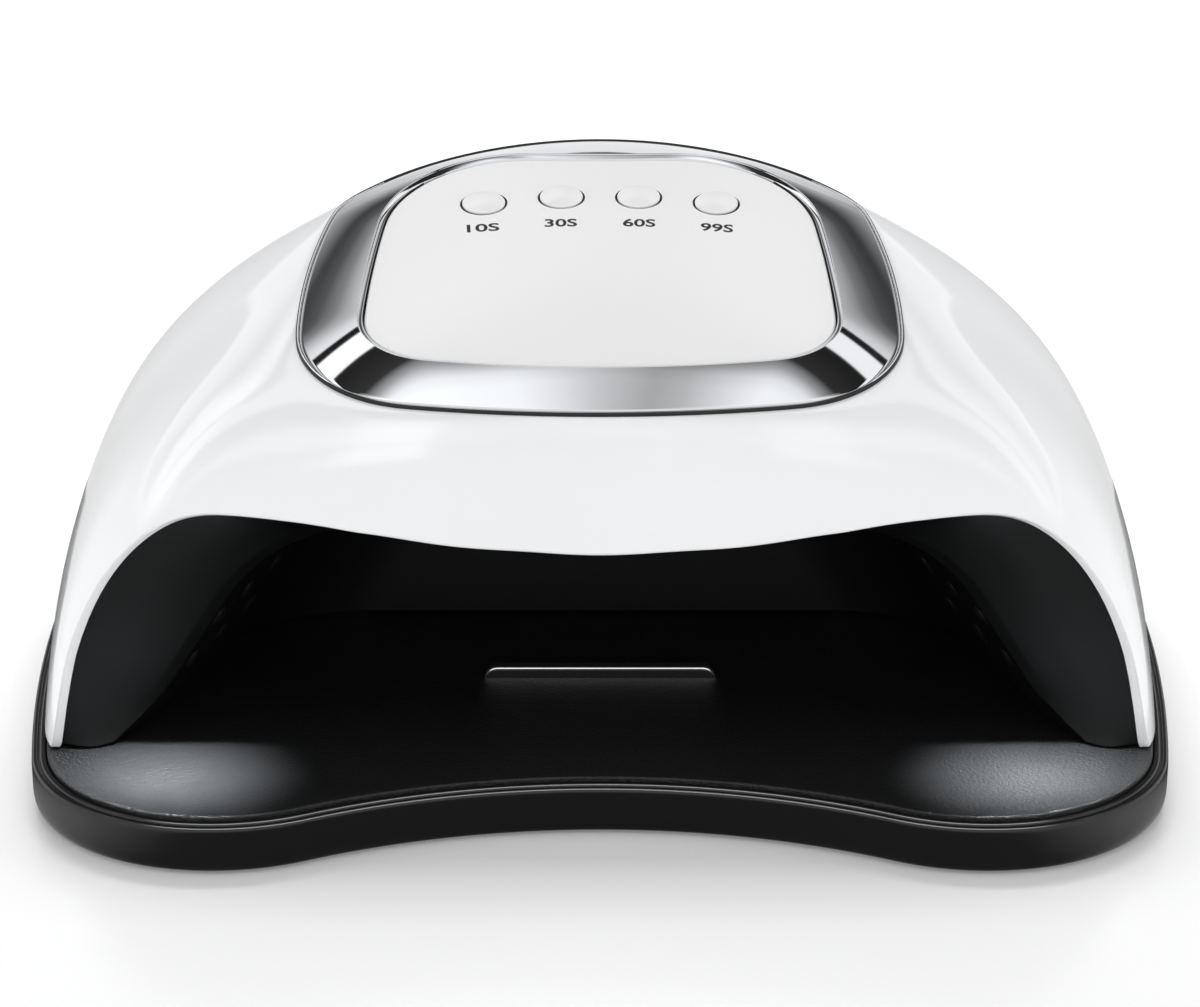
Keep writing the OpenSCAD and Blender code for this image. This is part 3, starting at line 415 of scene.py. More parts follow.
domeSpec = {
    "footZ": 12.6, "cutY": 75.0, "tilt": 15.4, "ringY": -60.6, "ringZ": 84.7,
    # by direction: the profile's lower pull in and up, and its upper pull out and down, as shares
    "profiles": {0: [0.27, 0.48, 0.58, 0.13], 34: [0.27, 0.51, 0.645, 0.05], 52: [0.08, 0.55, 0.665, 0.05],
                 90: [0.07, 0.57, 0.55, 0.17], 180: [0.18, 0.5, 0.45, 0.31]},
    "waves": [(0.047, 23, 10.5), (-0.035, 38, 6.3)]}  # size, direction and spread, in the first share
footZ, cutY, ringY, ringZ = (domeSpec[key] for key in ("footZ", "cutY", "ringY", "ringZ"))
tilt = math.radians(domeSpec["tilt"])
profileAngles, profiles = list(domeSpec["profiles"]), np.array(list(domeSpec["profiles"].values()))


def ringPlane(y):
    return ringZ + (y - ringY) * math.tan(tilt)


def profileAt(a):
    b = np.abs(wrapped(a))
    k = np.clip(np.searchsorted(profileAngles, b, "right") - 1, 0, 3)
    low, high = np.take(profileAngles, k), np.take(profileAngles, k + 1)
    w = (1 - np.cos(np.pi * (b - low) / (high - low))) / 2
    p = mix(profiles[k], profiles[k + 1], w[:, None])
    for size, at, spread in domeSpec["waves"]:
        p[:, 0] += size * np.exp(-((b - at) / spread) ** 2)
    return p


# Points of the dome's outside: directions a (n), share t (n by m) of the way from the foot to the ring
def dome(a, t):
    low, high = footReach(a), ringReach(a)
    top = ringPlane(-high * np.cos(np.radians(a)))
    p, run, rise = profileAt(a), low - high, top - footZ
    rs = [low, low - p[:, 0] * run, high + p[:, 2] * run, high]
    zs = [footZ + 0 * low, footZ + p[:, 1] * rise, top - p[:, 3] * rise, top]
    s = 1 - t
    basis = [s ** 3, 3 * s * s * t, 3 * s * t * t, t ** 3]
    r, z = (sum(v[:, None] * b for v, b in zip(vs, basis)) for vs in (rs, zs))
    return polar(r, np.asarray(a)[:, None], z)


def domeNormal(a, t):
    return unit(np.cross(dome(a + 0.3, t) - dome(a - 0.3, t), dome(a, t + 0.01) - dome(a, t - 0.01)))


# The share t at which test(a, t) falls to zero
def crossing(test, a, steps=40):
    low, high = np.zeros((len(a), 1)), np.ones((len(a), 1))
    for _ in range(steps):
        mid = (low + high) / 2
        up = test(a, mid) > 0
        low, high = np.where(up, mid, low), np.where(up, high, mid)
    return low


# The share at which the dome is so far from the middle
def shareAt(a, r, steps=40):
    return crossing(lambda b, t: np.hypot(dome(b, t)[..., 0], dome(b, t)[..., 1]) - r, a, steps)


# The direction of the leg's front tip, where the cut meets the foot's front corner
legX, legY, legR = arcs["foot"][1]
legA = math.degrees(math.atan2(legX + math.sqrt(legR ** 2 - (cutY + legY) ** 2), cutY))
legPoint = np.array([0.0, -cutY, footZ])


# Where the shell ends in each direction: the share, its outside's point and normal there, the direction along
# the surface towards the end, and where the end faces: square to the surface in front, down at the tray
def endFrame(a):
    w = np.clip((np.abs(a) - legA + 1.1) / 2.2, 0, 1)
    w = (w * w * (3 - 2 * w))[:, None, None]
    face = unit(mix(np.array([0, -1.0, 0]), np.array([0, 0, -1.0]), w))
    offset = dot(legPoint, face) - 1.2 * w * (1 - w)
    t = crossing(lambda a, t: (dot(dome(a, t), face) - offset)[..., 0], a)
    p, n = dome(a, t), domeNormal(a, t)
    along = unit(face - dot(face, n) * n)
    return t, p, n, along, unit(mix(along, face, w))


# The point that lies so deep under the outside and so far behind the end
def inEnd(end, deep, behind):
    t, p, n, along, facing = end
    return p - deep * n + (deep * dot(n, facing) - behind) / dot(along, facing) * along


# Directions from the front to the rear, as [from, to, count] runs
def halfAngles(parts):
    runs = [np.linspace(lo, hi, n, endpoint=False) for lo, hi, n in parts]
    return np.concatenate(runs + [[parts[-1][1]]])


half = halfAngles([(0, 44, 40), (44, legA - 1.5, 34), (legA - 1.5, legA + 1.5, 16), (legA + 1.5, 75, 22),
                   (75, 180, 90)])
allAngles = np.concatenate([-half[-2:0:-1], half])
shellSpec = {"wall": 2.3, "edge": 0.5, "innerEdge": 0.35, "flangeShare": 0.75, "flange": 2.2}


# The shell's section in each direction: outer edge, outside, flange, inside, inner edge
def shellSections(a):
    s = shellSpec
    end = endFrame(a)
    t0, p0, n0, b0, facing = end
    lean = np.arccos(np.clip(dot(n0, facing), -1, 1))
    turn = np.linspace(1, 0, 8)[None, :-1, None] * lean
    outerEdge = inEnd(end, s["edge"], s["edge"]) + s["edge"] * (np.cos(turn) * n0 + np.sin(turn) * b0)
    clear = dot(outerEdge[:, -1:] - p0, b0)[..., 0]  # the outside starts where the rounding ends
    rate = np.linalg.norm(dome(a, t0 + 0.005) - dome(a, t0), axis=-1) / 0.005
    t0 = t0 - clear / rate * 1.15
    rows = np.linspace(0, 1, 60) ** 1.15
    tIn = (t0 + (1 - t0) * rows[None, ::-2])[:, :-1]
    inner = dome(a, tIn) - s["wall"] * domeNormal(a, tIn)
    core = inEnd(end, s["wall"] - s["innerEdge"], s["innerEdge"])
    turn = np.linspace(0, 1, 6)[None, :, None] * (np.pi - lean)
    innerEdge = core + s["innerEdge"] * (-np.cos(turn) * n0 + np.sin(turn) * b0)
    r = mix(ringReach(a), openingReach(a), s["flangeShare"])
    z = ringPlane(-r * np.cos(np.radians(a)))
    flange = np.stack([polar(r, a, z), polar(r, a, z - s["flange"])], 1)
    return np.concatenate([outerEdge, dome(a, t0 + (1 - t0) * rows[None]), flange, inner, innerEdge], 1)


sections = shellSections(allAngles)
shellFaces = gridFaces(*sections.shape[:2], True, True)
outerShell = toMesh("outerShell", sections.reshape(-1, 3), shellFaces, whiteGloss)

# Cooling slots and the hole for the power socket's nose, through the rear wall
slots = {"width": 2.4, "height": 15.0, "count": 6, "first": 19.0, "step": 5.76, "low": 23.0}
socketHole = {"radius": 4.5, "z": 21.6}


# A flat slot with round ends, upright along Y
def slotShape():
    w, h = slots["width"] / 2, slots["height"]
    turn = np.linspace(0, math.pi, 13)
    ring = [(w * math.cos(t), w - h - w * math.sin(t)) for t in turn]
    return prism(ring + [(-w * math.cos(t), w * math.sin(t) - w) for t in turn], 70.0, 130.0)


alongY = turned(-90, "X")
slotSpots = [shift(side * (slots["first"] + i * slots["step"]), 0, slots["low"]) @ alongY
             for side in (-1, 1) for i in range(slots["count"])]
noseSpot = shift(0, 90, socketHole["z"]) @ alongY
outerShell = cut(outerShell, [many("slotCutters", slotShape(), slotSpots),
                              many("noseCutter", cylinder(socketHole["radius"], 0, 30), [noseSpot])])


def readAll(items, field, width=3, kind=np.float32):
    values = np.zeros(len(items) * width, kind)
    items.foreach_get(field, values)
    return values.reshape(-1, width)


# Gives faces that lie along an ideal surface that surface's own normals, so that cuts leave no dents
def smoothBy(obj, ideal, close=0.97):
    mesh = obj.data
    corner = readAll(mesh.corner_normals, "vector")
    index = readAll(mesh.loops, "vertex_index", 1, np.int32)[:, 0]
    wanted, valid = ideal(readAll(mesh.vertices, "co") / mm)
    faceOf = np.repeat(np.arange(len(mesh.polygons)), readAll(mesh.polygons, "loop_total", 1, np.int32)[:, 0])
    near = valid[index] & ((wanted[index] * readAll(mesh.polygons, "normal")[faceOf]).sum(-1) > close)
    corner[near] = wanted[index][near]
    mesh.normals_split_custom_set([tuple(v) for v in corner])


# The dome's normal at points on its outside, and which points lie there
def domeIdeal(co):
    a = np.degrees(np.arctan2(co[:, 0], -co[:, 1]))
    t = shareAt(a, np.hypot(co[:, 0], co[:, 1])[:, None], 30)
    return domeNormal(a, t)[:, 0], (np.abs(dome(a, t)[:, 0, 2] - co[:, 2]) < 0.2) & (co[:, 1] > 60)


smoothBy(outerShell, domeIdeal)
print("shell:", len(outerShell.data.polygons), "faces")

# Screw posts under the shell's skin
posts = {"radius": 3.6, "bore": 1.35, "foot": 15.4, "boreTop": 27.4, "skin": 2.6}
caseSpots = [(-115, -38), (115, -38), (-116, 38), (116, 38), (-62, 88), (62, 88)]


def postShape(x, y):
    p = posts
    far = 1 + p["radius"] / math.hypot(x, y)
    a = np.array([math.degrees(math.atan2(x, -y))])
    top = float(dome(a, shareAt(a, math.hypot(x, y) * far))[0, 0, 2]) - p["skin"]
    points, faces = lathe([(0, p["boreTop"]), (p["bore"], p["boreTop"]), (p["bore"], p["foot"]),
                           (p["radius"], p["foot"]), (p["radius"], top), (0, top)], 40)
    return points + np.array([x, y, 0]), faces


shellPosts = joined("shellPosts", [postShape(x, y) for x, y in caseSpots], whiteGloss)


# Chrome ring

# Beyond dark degrees from the front, the ring's whole outer edge is painted black as shade
ringSpec = {"bead": 0.42, "crest": 5.0, "bulge": 0.3, "dark": 125}  # dark: degrees from the front


# [share of the band, further inset, height over the ring's plane] round the section
def ringProfile():
    b, top, bulge = ringSpec["bead"], ringSpec["crest"], ringSpec["bulge"]
    bead = [(0, b + b * math.cos(t), 0.55 + b * math.sin(t)) for t in np.linspace(math.pi, 0.15, 9)]
    band = [(k, 1.15 * (1 - k) + 0.25 * k, mix(0.95, top - 0.04, k) + bulge * 4 * k * (1 - k))
            for k in np.linspace(0, 1, 26)]
    crest = [(1, 0.25 + 0.35 * k, top + 0.06 - 0.12 * (2 * k - 0.7) ** 2 * (k > 0.35))
             for k in np.linspace(0, 1, 7)[1:]]
    chamfer = [(1, 1.2, 4.66), (1, 1.62, 4.38), (1, 1.7, 4.26)]
    return ([(0, 0, 0.1)] + bead + [(0, 0.95, 0.72)] + band + crest + chamfer
            + [(1, 1.7, 1.8), (1, 4.4, 1.8), (1, 4.4, 0.4), (0.72, 0, 0.1)])


ringAngles = np.linspace(-180, 180, 360, endpoint=False)
profile = np.array(ringProfile(), float)
r = mix(ringReach(ringAngles)[:, None], openingReach(ringAngles)[:, None], profile[:, 0]) - profile[:, 1]
z = ringPlane(-r * np.cos(np.radians(ringAngles))[:, None]) + profile[:, 2]
chromeRing = toMesh("chromeRing", polar(r, ringAngles[:, None], z).reshape(-1, 3),
                    gridFaces(len(ringAngles), len(profile), True, True), chromePlate, 30)

# Painted shade on the chrome: the groove round the outside, the wall round the panel or, at the rear, the
# outer edge
chromeRing.data.materials.append(paintedShadeBlack)
shadedGrooveRows, shadedWallRows = [0, 1, 2, 3, 9], [len(profile) - 6, len(profile) - 5]
for k, face in enumerate(chromeRing.data.polygons):
    row, behind = k % len(profile), abs(ringAngles[k // len(profile)]) > ringSpec["dark"]
    if row in shadedGrooveRows or (row < 12 if behind else row in shadedWallRows):
        face.material_index = 1


# White panel, buttons and their numbers

panelSpec = {"rise": 4.2, "crown": 1.4, "thick": 2.0, "edge": 0.5}
slope = shift(0, ringY, ringZ) @ Matrix.Rotation(tilt, 4, "X")


def onSlope(spots, height=0.0):
    return [slope @ shift(x, v, height) for x, v in spots]


def panelZ(x, y):
    share = np.hypot(x, y) / panelReach(np.degrees(np.arctan2(x, -y)))
    return ringPlane(y) + panelSpec["rise"] + panelSpec["crown"] * (1 - share ** 2)


e, thick = panelSpec["edge"], panelSpec["thick"]
rows = [(0.4, 0, -thick), (0.8, 0, -thick), (1, 0.1, -thick), (1, 0, 0.1 - thick), (1, 0, -1.0)]
rows += [(1, e * (1 - math.cos(t)), -e * (1 - math.sin(t))) for t in quarterTurn(7)]
rows += [(k, e * k, 0) for k in (0.97, 0.93, 0.88, 0.82, 0.75, 0.67, 0.58, 0.48, 0.38, 0.28, 0.18, 0.08)]
rows = np.array(rows)  # share of the radius, further inset, height over or under the panel's face
flat = polar(panelReach(ringAngles)[:, None] * rows[:, 0] - rows[:, 1], ringAngles[:, None], 0.0)
flat[..., 2] = panelZ(flat[..., 0], flat[..., 1]) + rows[:, 2]
middle = float(panelZ(0.0, 1e-6))
topPanel = toMesh("topPanel", np.vstack([flat.reshape(-1, 3), [[0, 0, middle - thick], [0, 0, middle]]]),
                  discFaces(len(ringAngles), len(rows)), panelWhite)

buttonSpec = {"radius": 5.1, "gap": 0.25, "out": 0.9, "dome": 0.4, "edge": 0.3, "collar": 0.9, "pitch": 18.4,
              "v": 86.3, "bow": 2.5, "seat": 0.3}
buttonSpots = []
for i in range(4):
    v = buttonSpec["v"] - (buttonSpec["bow"] if i in (0, 3) else 0)
    x, y = (i - 1.5) * buttonSpec["pitch"], ringY + v * math.cos(tilt) - panelSpec["rise"] * math.sin(tilt)
    buttonSpots.append((x, v, (float(panelZ(x, y)) - ringPlane(y)) * math.cos(tilt)))
hole = buttonSpec["radius"] + buttonSpec["gap"]
seat = hole + buttonSpec["seat"]
seats = [slope @ shift(x, v, top - buttonSpec["seat"]) for x, v, top in buttonSpots]
holes = many("buttonHoles", cylinder(hole, -2, 12), onSlope([spot[:2] for spot in buttonSpots]))
topPanel = cut(topPanel, [holes, many("buttonSeats", cylinder(seat, 0, 6), seats)])


def panelIdeal(co):
    x, y = co[:, 0], co[:, 1]
    gx = (panelZ(x + 0.05, y) - panelZ(x - 0.05, y)) / 0.1
    gy = (panelZ(x, y + 0.05) - panelZ(x, y - 0.05)) / 0.1
    return unit(np.stack([-gx, -gy, np.ones_like(gx)], -1)), np.abs(panelZ(x, y) - co[:, 2]) < 0.03


smoothBy(topPanel, panelIdeal, 0.995)


# Paints shade black on the faces within a radius of the buttons' axes, so far or further under the panel's
# face, where the gaps lie in shade
def darken(obj, radius, under):
    obj.data.materials.append(paintedShadeBlack)
    back = slope.inverted()
    for face in obj.data.polygons:
        p = back @ (face.center / mm)
        for x, v, top in buttonSpots:
            if math.hypot(p.x - x, p.y - v) < radius and 1 < p.z < top - under:
                face.material_index = 1


# Painted shade on the walls and seats of the panel's button holes
darken(topPanel, seat, 0.06)
boardSpots = [(-31, 28), (31, 28), (-33, 70), (33, 70)]
bossShape = lathe([(0, 0.5), (1.05, 0.5), (1.05, -5.95), (3, -5.95), (3, 3.6), (0, 3.6)], 40)
panelBosses = many("panelBosses", bossShape, onSlope(boardSpots), panelWhite)


def buttonShape(top):
    s = buttonSpec
    r, e, crown, seatZ = s["radius"], s["edge"], top + s["out"], top - 2.4
    edge, wide = crown - s["dome"], r + s["collar"]
    low = [(0, -1.4), (2, -1.4), (2, seatZ - 1), (wide, seatZ - 1), (wide, seatZ), (r, seatZ)]
    side = [(r, top - 0.12)]
    side += [(r - e * (1 - math.cos(t)), edge - e * (1 - math.sin(t))) for t in np.linspace(0, 1.45, 7)]
    face = [((r - e) * k, edge + s["dome"] * (1 - k * k)) for k in (0.95, 0.88, 0.78, 0.66, 0.52, 0.36, 0.18)]
    return lathe(low + side + face + [(0, crown)], 96)


keys = ["10", "30", "60", "99"]
buttons = []
# Each button's side below the panel's face gets painted shade
for key, (x, v, top) in zip(keys, buttonSpots):
    points, faces = buttonShape(top)
    buttons.append(toMesh("button" + key, moved(points, slope @ shift(x, v)), faces, buttonWhite, 50))
    darken(buttons[-1], 7.0, 0.2)

labelSpec = {"height": 3.6, "width": 7.6, "thick": 0.03, "lift": 0.01, "bold": 0.018,
             "spots": [(-27.4, 7.7, 4), (-9.2, 9.3, 1), (9.2, 9.3, -1), (27.4, 7.7, -4)]}  # x, y, turn
labels = []
for key, (cx, cy, turn) in zip(keys, labelSpec["spots"]):
    text = bpy.data.curves.new("label" + key, "FONT")
    text.body = key + "S"
    text.size, text.offset, text.extrude, text.resolution_u = 1.0, labelSpec["bold"], 0.01, 4
    carrier = addObject("labelText", text)
    mesh = evaluated(carrier)
    bpy.data.objects.remove(carrier)
    co = readAll(mesh.vertices, "co").astype(float)
    low, high = co.min(0), co.max(0)
    flat = (co[:, :2] - (low + high)[:2] / 2) / (high - low)[:2] * [labelSpec["width"], labelSpec["height"]]
    cosine, sine = math.cos(math.radians(turn)), math.sin(math.radians(turn))
    x, y = cx + flat[:, 0] * cosine - flat[:, 1] * sine, cy + (flat @ [sine, cosine]) * math.cos(tilt)
    z = panelZ(x, y) + labelSpec["lift"] + (co[:, 2] > 0) * labelSpec["thick"]
    for p, point in zip(mesh.vertices, np.stack([x, y, z], -1) * mm):
        p.co = point
    labels.append(dress("label" + key, mesh, ink, recalc=True))
print("ring, panel and buttons made")


# Inner liner: the flared mouth and the cavity behind it

linerSpec = {"wall": 1.8, "gap": 0.35, "recess": 1.0, "halfWidth": 104.4, "ceiling": 58.8, "lean": 57.0,
             "taper": 0.289, "ceilingRadius": 38.0, "mouthY": -62.0, "rearY": 11.0, "rearRadius": 22.0,
             "step": 2.2, "foot": 10.8, "spread": (5.0, -9.0, 0.5), "spreadHeight": 11.0, "bulge": 0.55}
wall, mouthY, rearY = (linerSpec[key] for key in ("wall", "mouthY", "rearY"))
lean = math.radians(linerSpec["lean"])


# A point of the cavity's wall at depth y, moved out by off; share 0 is the ceiling's middle, 1 the foot
def cavityPoint(y, off, share):
    s = linerSpec
    y, off, share = np.broadcast_arrays(float(y), float(off), share)
    r = s["ceilingRadius"] + off
    cz = s["ceiling"] - s["ceilingRadius"]
    level = math.sin(lean) * s["halfWidth"] + math.cos(lean) * 10 - s["taper"] * math.sin(lean) * (y - mouthY)
    cx = (level - s["ceilingRadius"] - math.cos(lean) * cz) / math.sin(lean)
    bend = r * lean
    d = share * (cx + bend + (cz + r * math.cos(lean) - s["foot"]) / math.sin(lean))
    turn = np.clip((d - cx) / r, 0, lean)
    rest = np.maximum(0, d - cx - bend)
    x = np.minimum(d, cx) + r * np.sin(turn) + rest * math.cos(lean)
    return np.stack([x, y, cz + r * np.cos(turn) - rest * math.sin(lean)], -1)


def spreadFoot(p):
    return p + np.maximum(0, 1 - (p[..., 2:3] - 11) / linerSpec["spreadHeight"]) ** 2 * linerSpec["spread"]


# A corner of a section turned into a short curve
def rounded(before, corner, after, radius, steps=5):
    p, q = corner + unit(before - corner) * radius, corner + unit(after - corner) * radius
    return [(1 - t) ** 2 * p + 2 * t * (1 - t) * corner + t * t * q for t in np.linspace(0, 1, steps)]


mouthAngles = halfAngles([(0, 44, 56), (44, legA, 52)])
mouthEdge = inEnd(endFrame(mouthAngles), shellSpec["wall"] + linerSpec["gap"], linerSpec["recess"])[:, 0]
lengths = np.concatenate([[0], np.cumsum(np.linalg.norm(np.diff(mouthEdge, axis=0), axis=1))])
share = lengths / lengths[-1]


# The cavity's straight run and its rounded rear, moved out by off
def cavityRows(off):
    bend = linerSpec["rearRadius"]
    start, r = rearY - bend, bend + off
    run = [cavityPoint(y, off, share) for y in np.linspace(mouthY + 9, start, 8)]
    return run + [cavityPoint(start + r * math.sin(t), r * math.cos(t) - bend, share)
                  for t in quarterTurn(16)[1:]]


flareShares, fifths = np.linspace(0, 0.97, 16), (0.2, 0.4, 0.6, 0.8, 1)
throat = spreadFoot(cavityPoint(mouthY, linerSpec["step"], share))
sill = spreadFoot(cavityPoint(mouthY + 2.5, 0, share))
inside = cavityPoint(mouthY + 9, 0, share)
near = [mix(mouthEdge, throat, u) + [0, -linerSpec["bulge"] * math.sin(math.pi * u), 0] for u in flareShares]
near += rounded(near[-1], throat, sill, 0.35) + rounded(throat, sill, inside, 0.5)
near += mixes(sill, inside, (0.4, 0.7)) + cavityRows(0)
throat = spreadFoot(cavityPoint(mouthY + 1.4, linerSpec["step"] + wall, share))
sill = spreadFoot(cavityPoint(mouthY + 4, wall, share))
inside = cavityPoint(mouthY + 9, wall, share)
back = mixes(mouthEdge + [0, 1.5, 0], throat, flareShares)
back += mixes(back[-1], throat, fifths) + mixes(throat, sill, fifths)
back += mixes(sill, inside, (0.4, 0.7)) + cavityRows(wall)


def bothSides(rowsOf):
    grid = np.stack(rowsOf, 1)
    return np.concatenate([grid[:0:-1] * [-1, 1, 1], grid])


nearGrid, backGrid = bothSides(near), bothSides(back)
n, m = nearGrid.shape[:2]
h = n * m
poles = [[0, rearY, linerSpec["foot"]], [0, rearY + wall, linerSpec["foot"]]]
faces = [(k * m, (k + 1) * m, h + (k + 1) * m, h + k * m) for k in range(n - 1)]
for base, pole in ((0, 2 * h), (h, 2 * h + 1)):
    faces += (base + np.array(gridFaces(n, m, False))).tolist()
    faces += [(base + k * m + m - 1, base + (k + 1) * m + m - 1, pole) for k in range(n - 1)]
for k in (0, h - m):
    faces += [(k + j, k + j + 1, h + k + j + 1, h + k + j) for j in range(m - 1)]
    faces.append((k + m - 1, 2 * h, 2 * h + 1, h + k + m - 1))
innerLiner = toMesh("innerLiner", np.vstack([nearGrid.reshape(-1, 3), backGrid.reshape(-1, 3), poles]), faces,
                    linerBlack, 30)

# Frames on the cavity's walls: z points out of the cavity
yaw = math.degrees(math.atan(linerSpec["taper"]))
rise = math.degrees(math.atan(math.cos(lean) / (math.sin(lean) * math.sqrt(1 + linerSpec["taper"] ** 2))))
sideTurn = turned(yaw, "Z") @ turned(-rise, "Y") @ turned(90, "Z") @ turned(90, "X")
rightWall = shift(linerSpec["halfWidth"], mouthY, 10) @ sideTurn
ceilingWall = shift(0, 0, linerSpec["ceiling"])
rearWall = shift(0, rearY, 10) @ turned(180, "Z") @ turned(90, "X")


def onWall(wallFrame, spots, lift=0.0, flip=0):
    return [wallFrame @ shift(x, y, lift) @ turned(flip, "X") for x, y in spots]


# The same spots on the left wall, for shapes that are round about their own Z
def mirrored(matrices):
    found = []
    for m in matrices:
        p, z = m.translation, m.to_3x3() @ Vector((0, 0, 1))
        turn = Vector((-z.x, z.y, z.z)).to_track_quat("Z", "Y").to_matrix().to_4x4()
        found.append(shift(-p.x, p.y, p.z) @ turn)
    return found


quarters = (-1.5, -0.5, 0.5, 1.5)
lampSpots = {"ceiling": [(x * 26, -47 + y * 18) for x in quarters for y in (0, 1, 2)],
             "side": [(13 + x * 17, 17 + y * 13) for x in (0, 1, 2) for y in (0, 1)],
             "rear": [(x * 28, 25) for x in quarters]}
standoffSpots = {"ceiling": [(x, y) for x in (-26, 26) for y in (-38, -20)],
                 "side": [(21.5, 23.5), (38.5, 23.5)], "rear": [(-28, 25), (28, 25)]}


def onWalls(spots, *how):
    side = onWall(rightWall, spots["side"], *how)
    return {"ceiling": onWall(ceilingWall, spots["ceiling"], *how), "right": side, "left": mirrored(side),
            "rear": onWall(rearWall, spots["rear"], *how)}


lampFrames = onWalls(lampSpots)
lensHoles = sum(lampFrames.values(), []) + onWall(ceilingWall, [(0, -51)])  # the last is the hand sensor's
innerLiner = cut(innerLiner, [many("lensHoles", cylinder(3.2, -3, 4.8, 40), lensHoles)])
standoffShape = lathe([(0, 0.9), (2.2, 0.9), (2.2, 3.35), (2, 3.6), (0.85, 3.6), (0.85, 1.44), (0, 1.44)], 24)
standoffFrames = sum(onWalls(standoffSpots).values(), [])
linerStandoffs = fittings("linerStandoffs", standoffShape, standoffFrames, linerBlack)
lensShape = lathe([(0, -1), (0.7, -0.95), (1.4, -0.8), (2.1, -0.52), (2.7, -0.1), (3, 0.4), (3, 1.9),
                   (3.8, 1.9), (3.8, 2.6), (0, 2.6)], 32)
lensPieces = {side + "_lenses": fittings(side + "Lenses", lensShape, lampFrames[side], smokedLens)
              for side in ("ceiling", "right", "left", "rear")}
print("liner made:", len(innerLiner.data.polygons), "faces")


# Tray: rim, floor plate, finger bar, feet

rimSection = [  # inset from the outline, height
    (2.7, 0.7), (1.3, 0.7), (0.9, 0.85), (0.5, 1.5), (0.2, 2.4), (0.05, 3.3), (0, 4.2), (0, 6), (0, 8),
    (0, 9.6), (0.03, 10.1), (0.12, 10.5), (0.3, 10.78), (0.55, 10.93), (0.85, 11), (1.15, 10.98),
    (1.35, 10.86), (1.48, 10.66), (1.6, 10.6), (1.72, 10.66), (1.84, 10.95), (2, 11.15), (2.2, 11.25),
    (2.5, 11.3), (2.9, 11.3),
    (3.15, 11.22), (3.3, 11), (3.3, 9.4), (3.3, 7.7), (7.4, 7.7), (7.4, 5.8), (2.4, 5.8), (2.4, 3)]
trayAngles = np.linspace(-180, 180, 540, endpoint=False)
rimPath = loopObject("rimPath", polar(reach("tray", 0, trayAngles), trayAngles, 0.0))
rimProfile = loopObject("rimProfile", [(-inset, -z, 0) for inset, z in rimSection])
trayFrame = runTree("trayFrame", sweepTree, sweepKeys, rimPath,
                    {"Section": rimProfile, "Section size": 1.0, "Finish": rimBlack}, rimBlack)
bpy.data.objects.remove(rimProfile)
trayFrame.data.materials.append(ledgeBlack)
for face in trayFrame.data.polygons:
    if face.normal.z > 0.93:
        face.material_index = 1

plate = {"edge": 3.5, "under": 7.8, "crest": 12.2, "floor": 10.0, "start": 4.5, "dish": 24.0, "round": 0.5}


def dishZ(inset):
    down = np.clip((inset - plate["start"]) / plate["dish"], 0, 1)
    return plate["floor"] + (plate["crest"] - plate["floor"]) * (1 - down) ** 2


e, under, bend = plate["edge"], plate["under"], plate["round"]
rim, flatInset = plate["crest"] - bend, plate["start"] + plate["dish"]
rows = [(e + 6, under), (e + 0.3, under), (e, under + 0.3), (e, under + 1.7), (e, rim)]
rows += [(e + bend * (1 - math.cos(t)), rim + bend * math.sin(t)) for t in quarterTurn(7)[1:]]
insets = [plate["start"], *np.linspace(5, 12, 12), *np.linspace(13, flatInset, 16)]
rows += [(inset, float(dishZ(inset))) for inset in insets]
last = reach("tray", flatInset, trayAngles)
grid = [polar(reach("tray", inset, trayAngles), trayAngles, z) for inset, z in rows]
grid += [polar(last * k, trayAngles, plate["floor"]) for k in (0.85, 0.68, 0.5, 0.32, 0.15)]
grid = np.stack(grid, 1)
floorPlate = toMesh("floorPlate", np.vstack([grid.reshape(-1, 3), [[0, 0, under], [0, 0, plate["floor"]]]]),
                    discFaces(len(trayAngles), grid.shape[1]), floorBlack, 35)
pegSpots = [shift(x, -28) for x in (-18, 18)]
floorPlate = cut(floorPlate, [many("pegHoles", cylinder(1.1, 8.6, 12, 24), pegSpots)])


def floorIdeal(co):
    return np.tile([0.0, 0.0, 1.0], (len(co), 1)), np.abs(co[:, 2] - plate["floor"]) < 0.004


smoothBy(floorPlate, floorIdeal, 0.999)

footSpots = [shift(x, y) for x, y in ((-96.2, -78), (96.2, -78), (-112, 30), (112, 30), (-50, 88), (50, 88))]
footShape = lathe([(0, 0), (5.5, 0), (5.85, 0.15), (6, 0.5), (6, 2.6), (0, 2.6)], 48)
trayFeet = fittings("trayFeet", footShape, footSpots, rubber)
bossShape = lathe([(0, 2.6), (6.6, 2.6), (7, 3.0), (7, 8.3), (0, 8.3)], 48)
plateBosses = fittings("plateBosses", bossShape, footSpots, floorBlack)

barSpec = {"length": 54.0, "depth": 3.0, "height": 3.0, "y": -28.0, "square": 0.55}


# The bar's sections along X, its ends falling in a quarter circle
def barSections():
    b = barSpec
    endR = b["height"]
    straight = b["length"] / 2 - endR
    turn = quarterTurn(13)
    xs = np.concatenate([-straight - endR * np.cos(turn), np.linspace(-straight, straight, 20)[1:-1],
                         straight + endR * np.sin(turn)])
    hs = np.maximum(np.concatenate([np.sin(turn), np.ones(18), np.cos(turn)]) * b["height"], 0.05)
    around = np.linspace(0, math.pi, 21)
    y = b["depth"] / 2 * np.sign(np.cos(around)) * np.abs(np.cos(around)) ** b["square"]
    z = np.abs(np.sin(around)) ** b["square"]
    ends = zip(xs, hs)
    return np.array([[(x, b["y"] + dy, plate["floor"] + h * dz) for dy, dz in zip(y, z)] for x, h in ends])


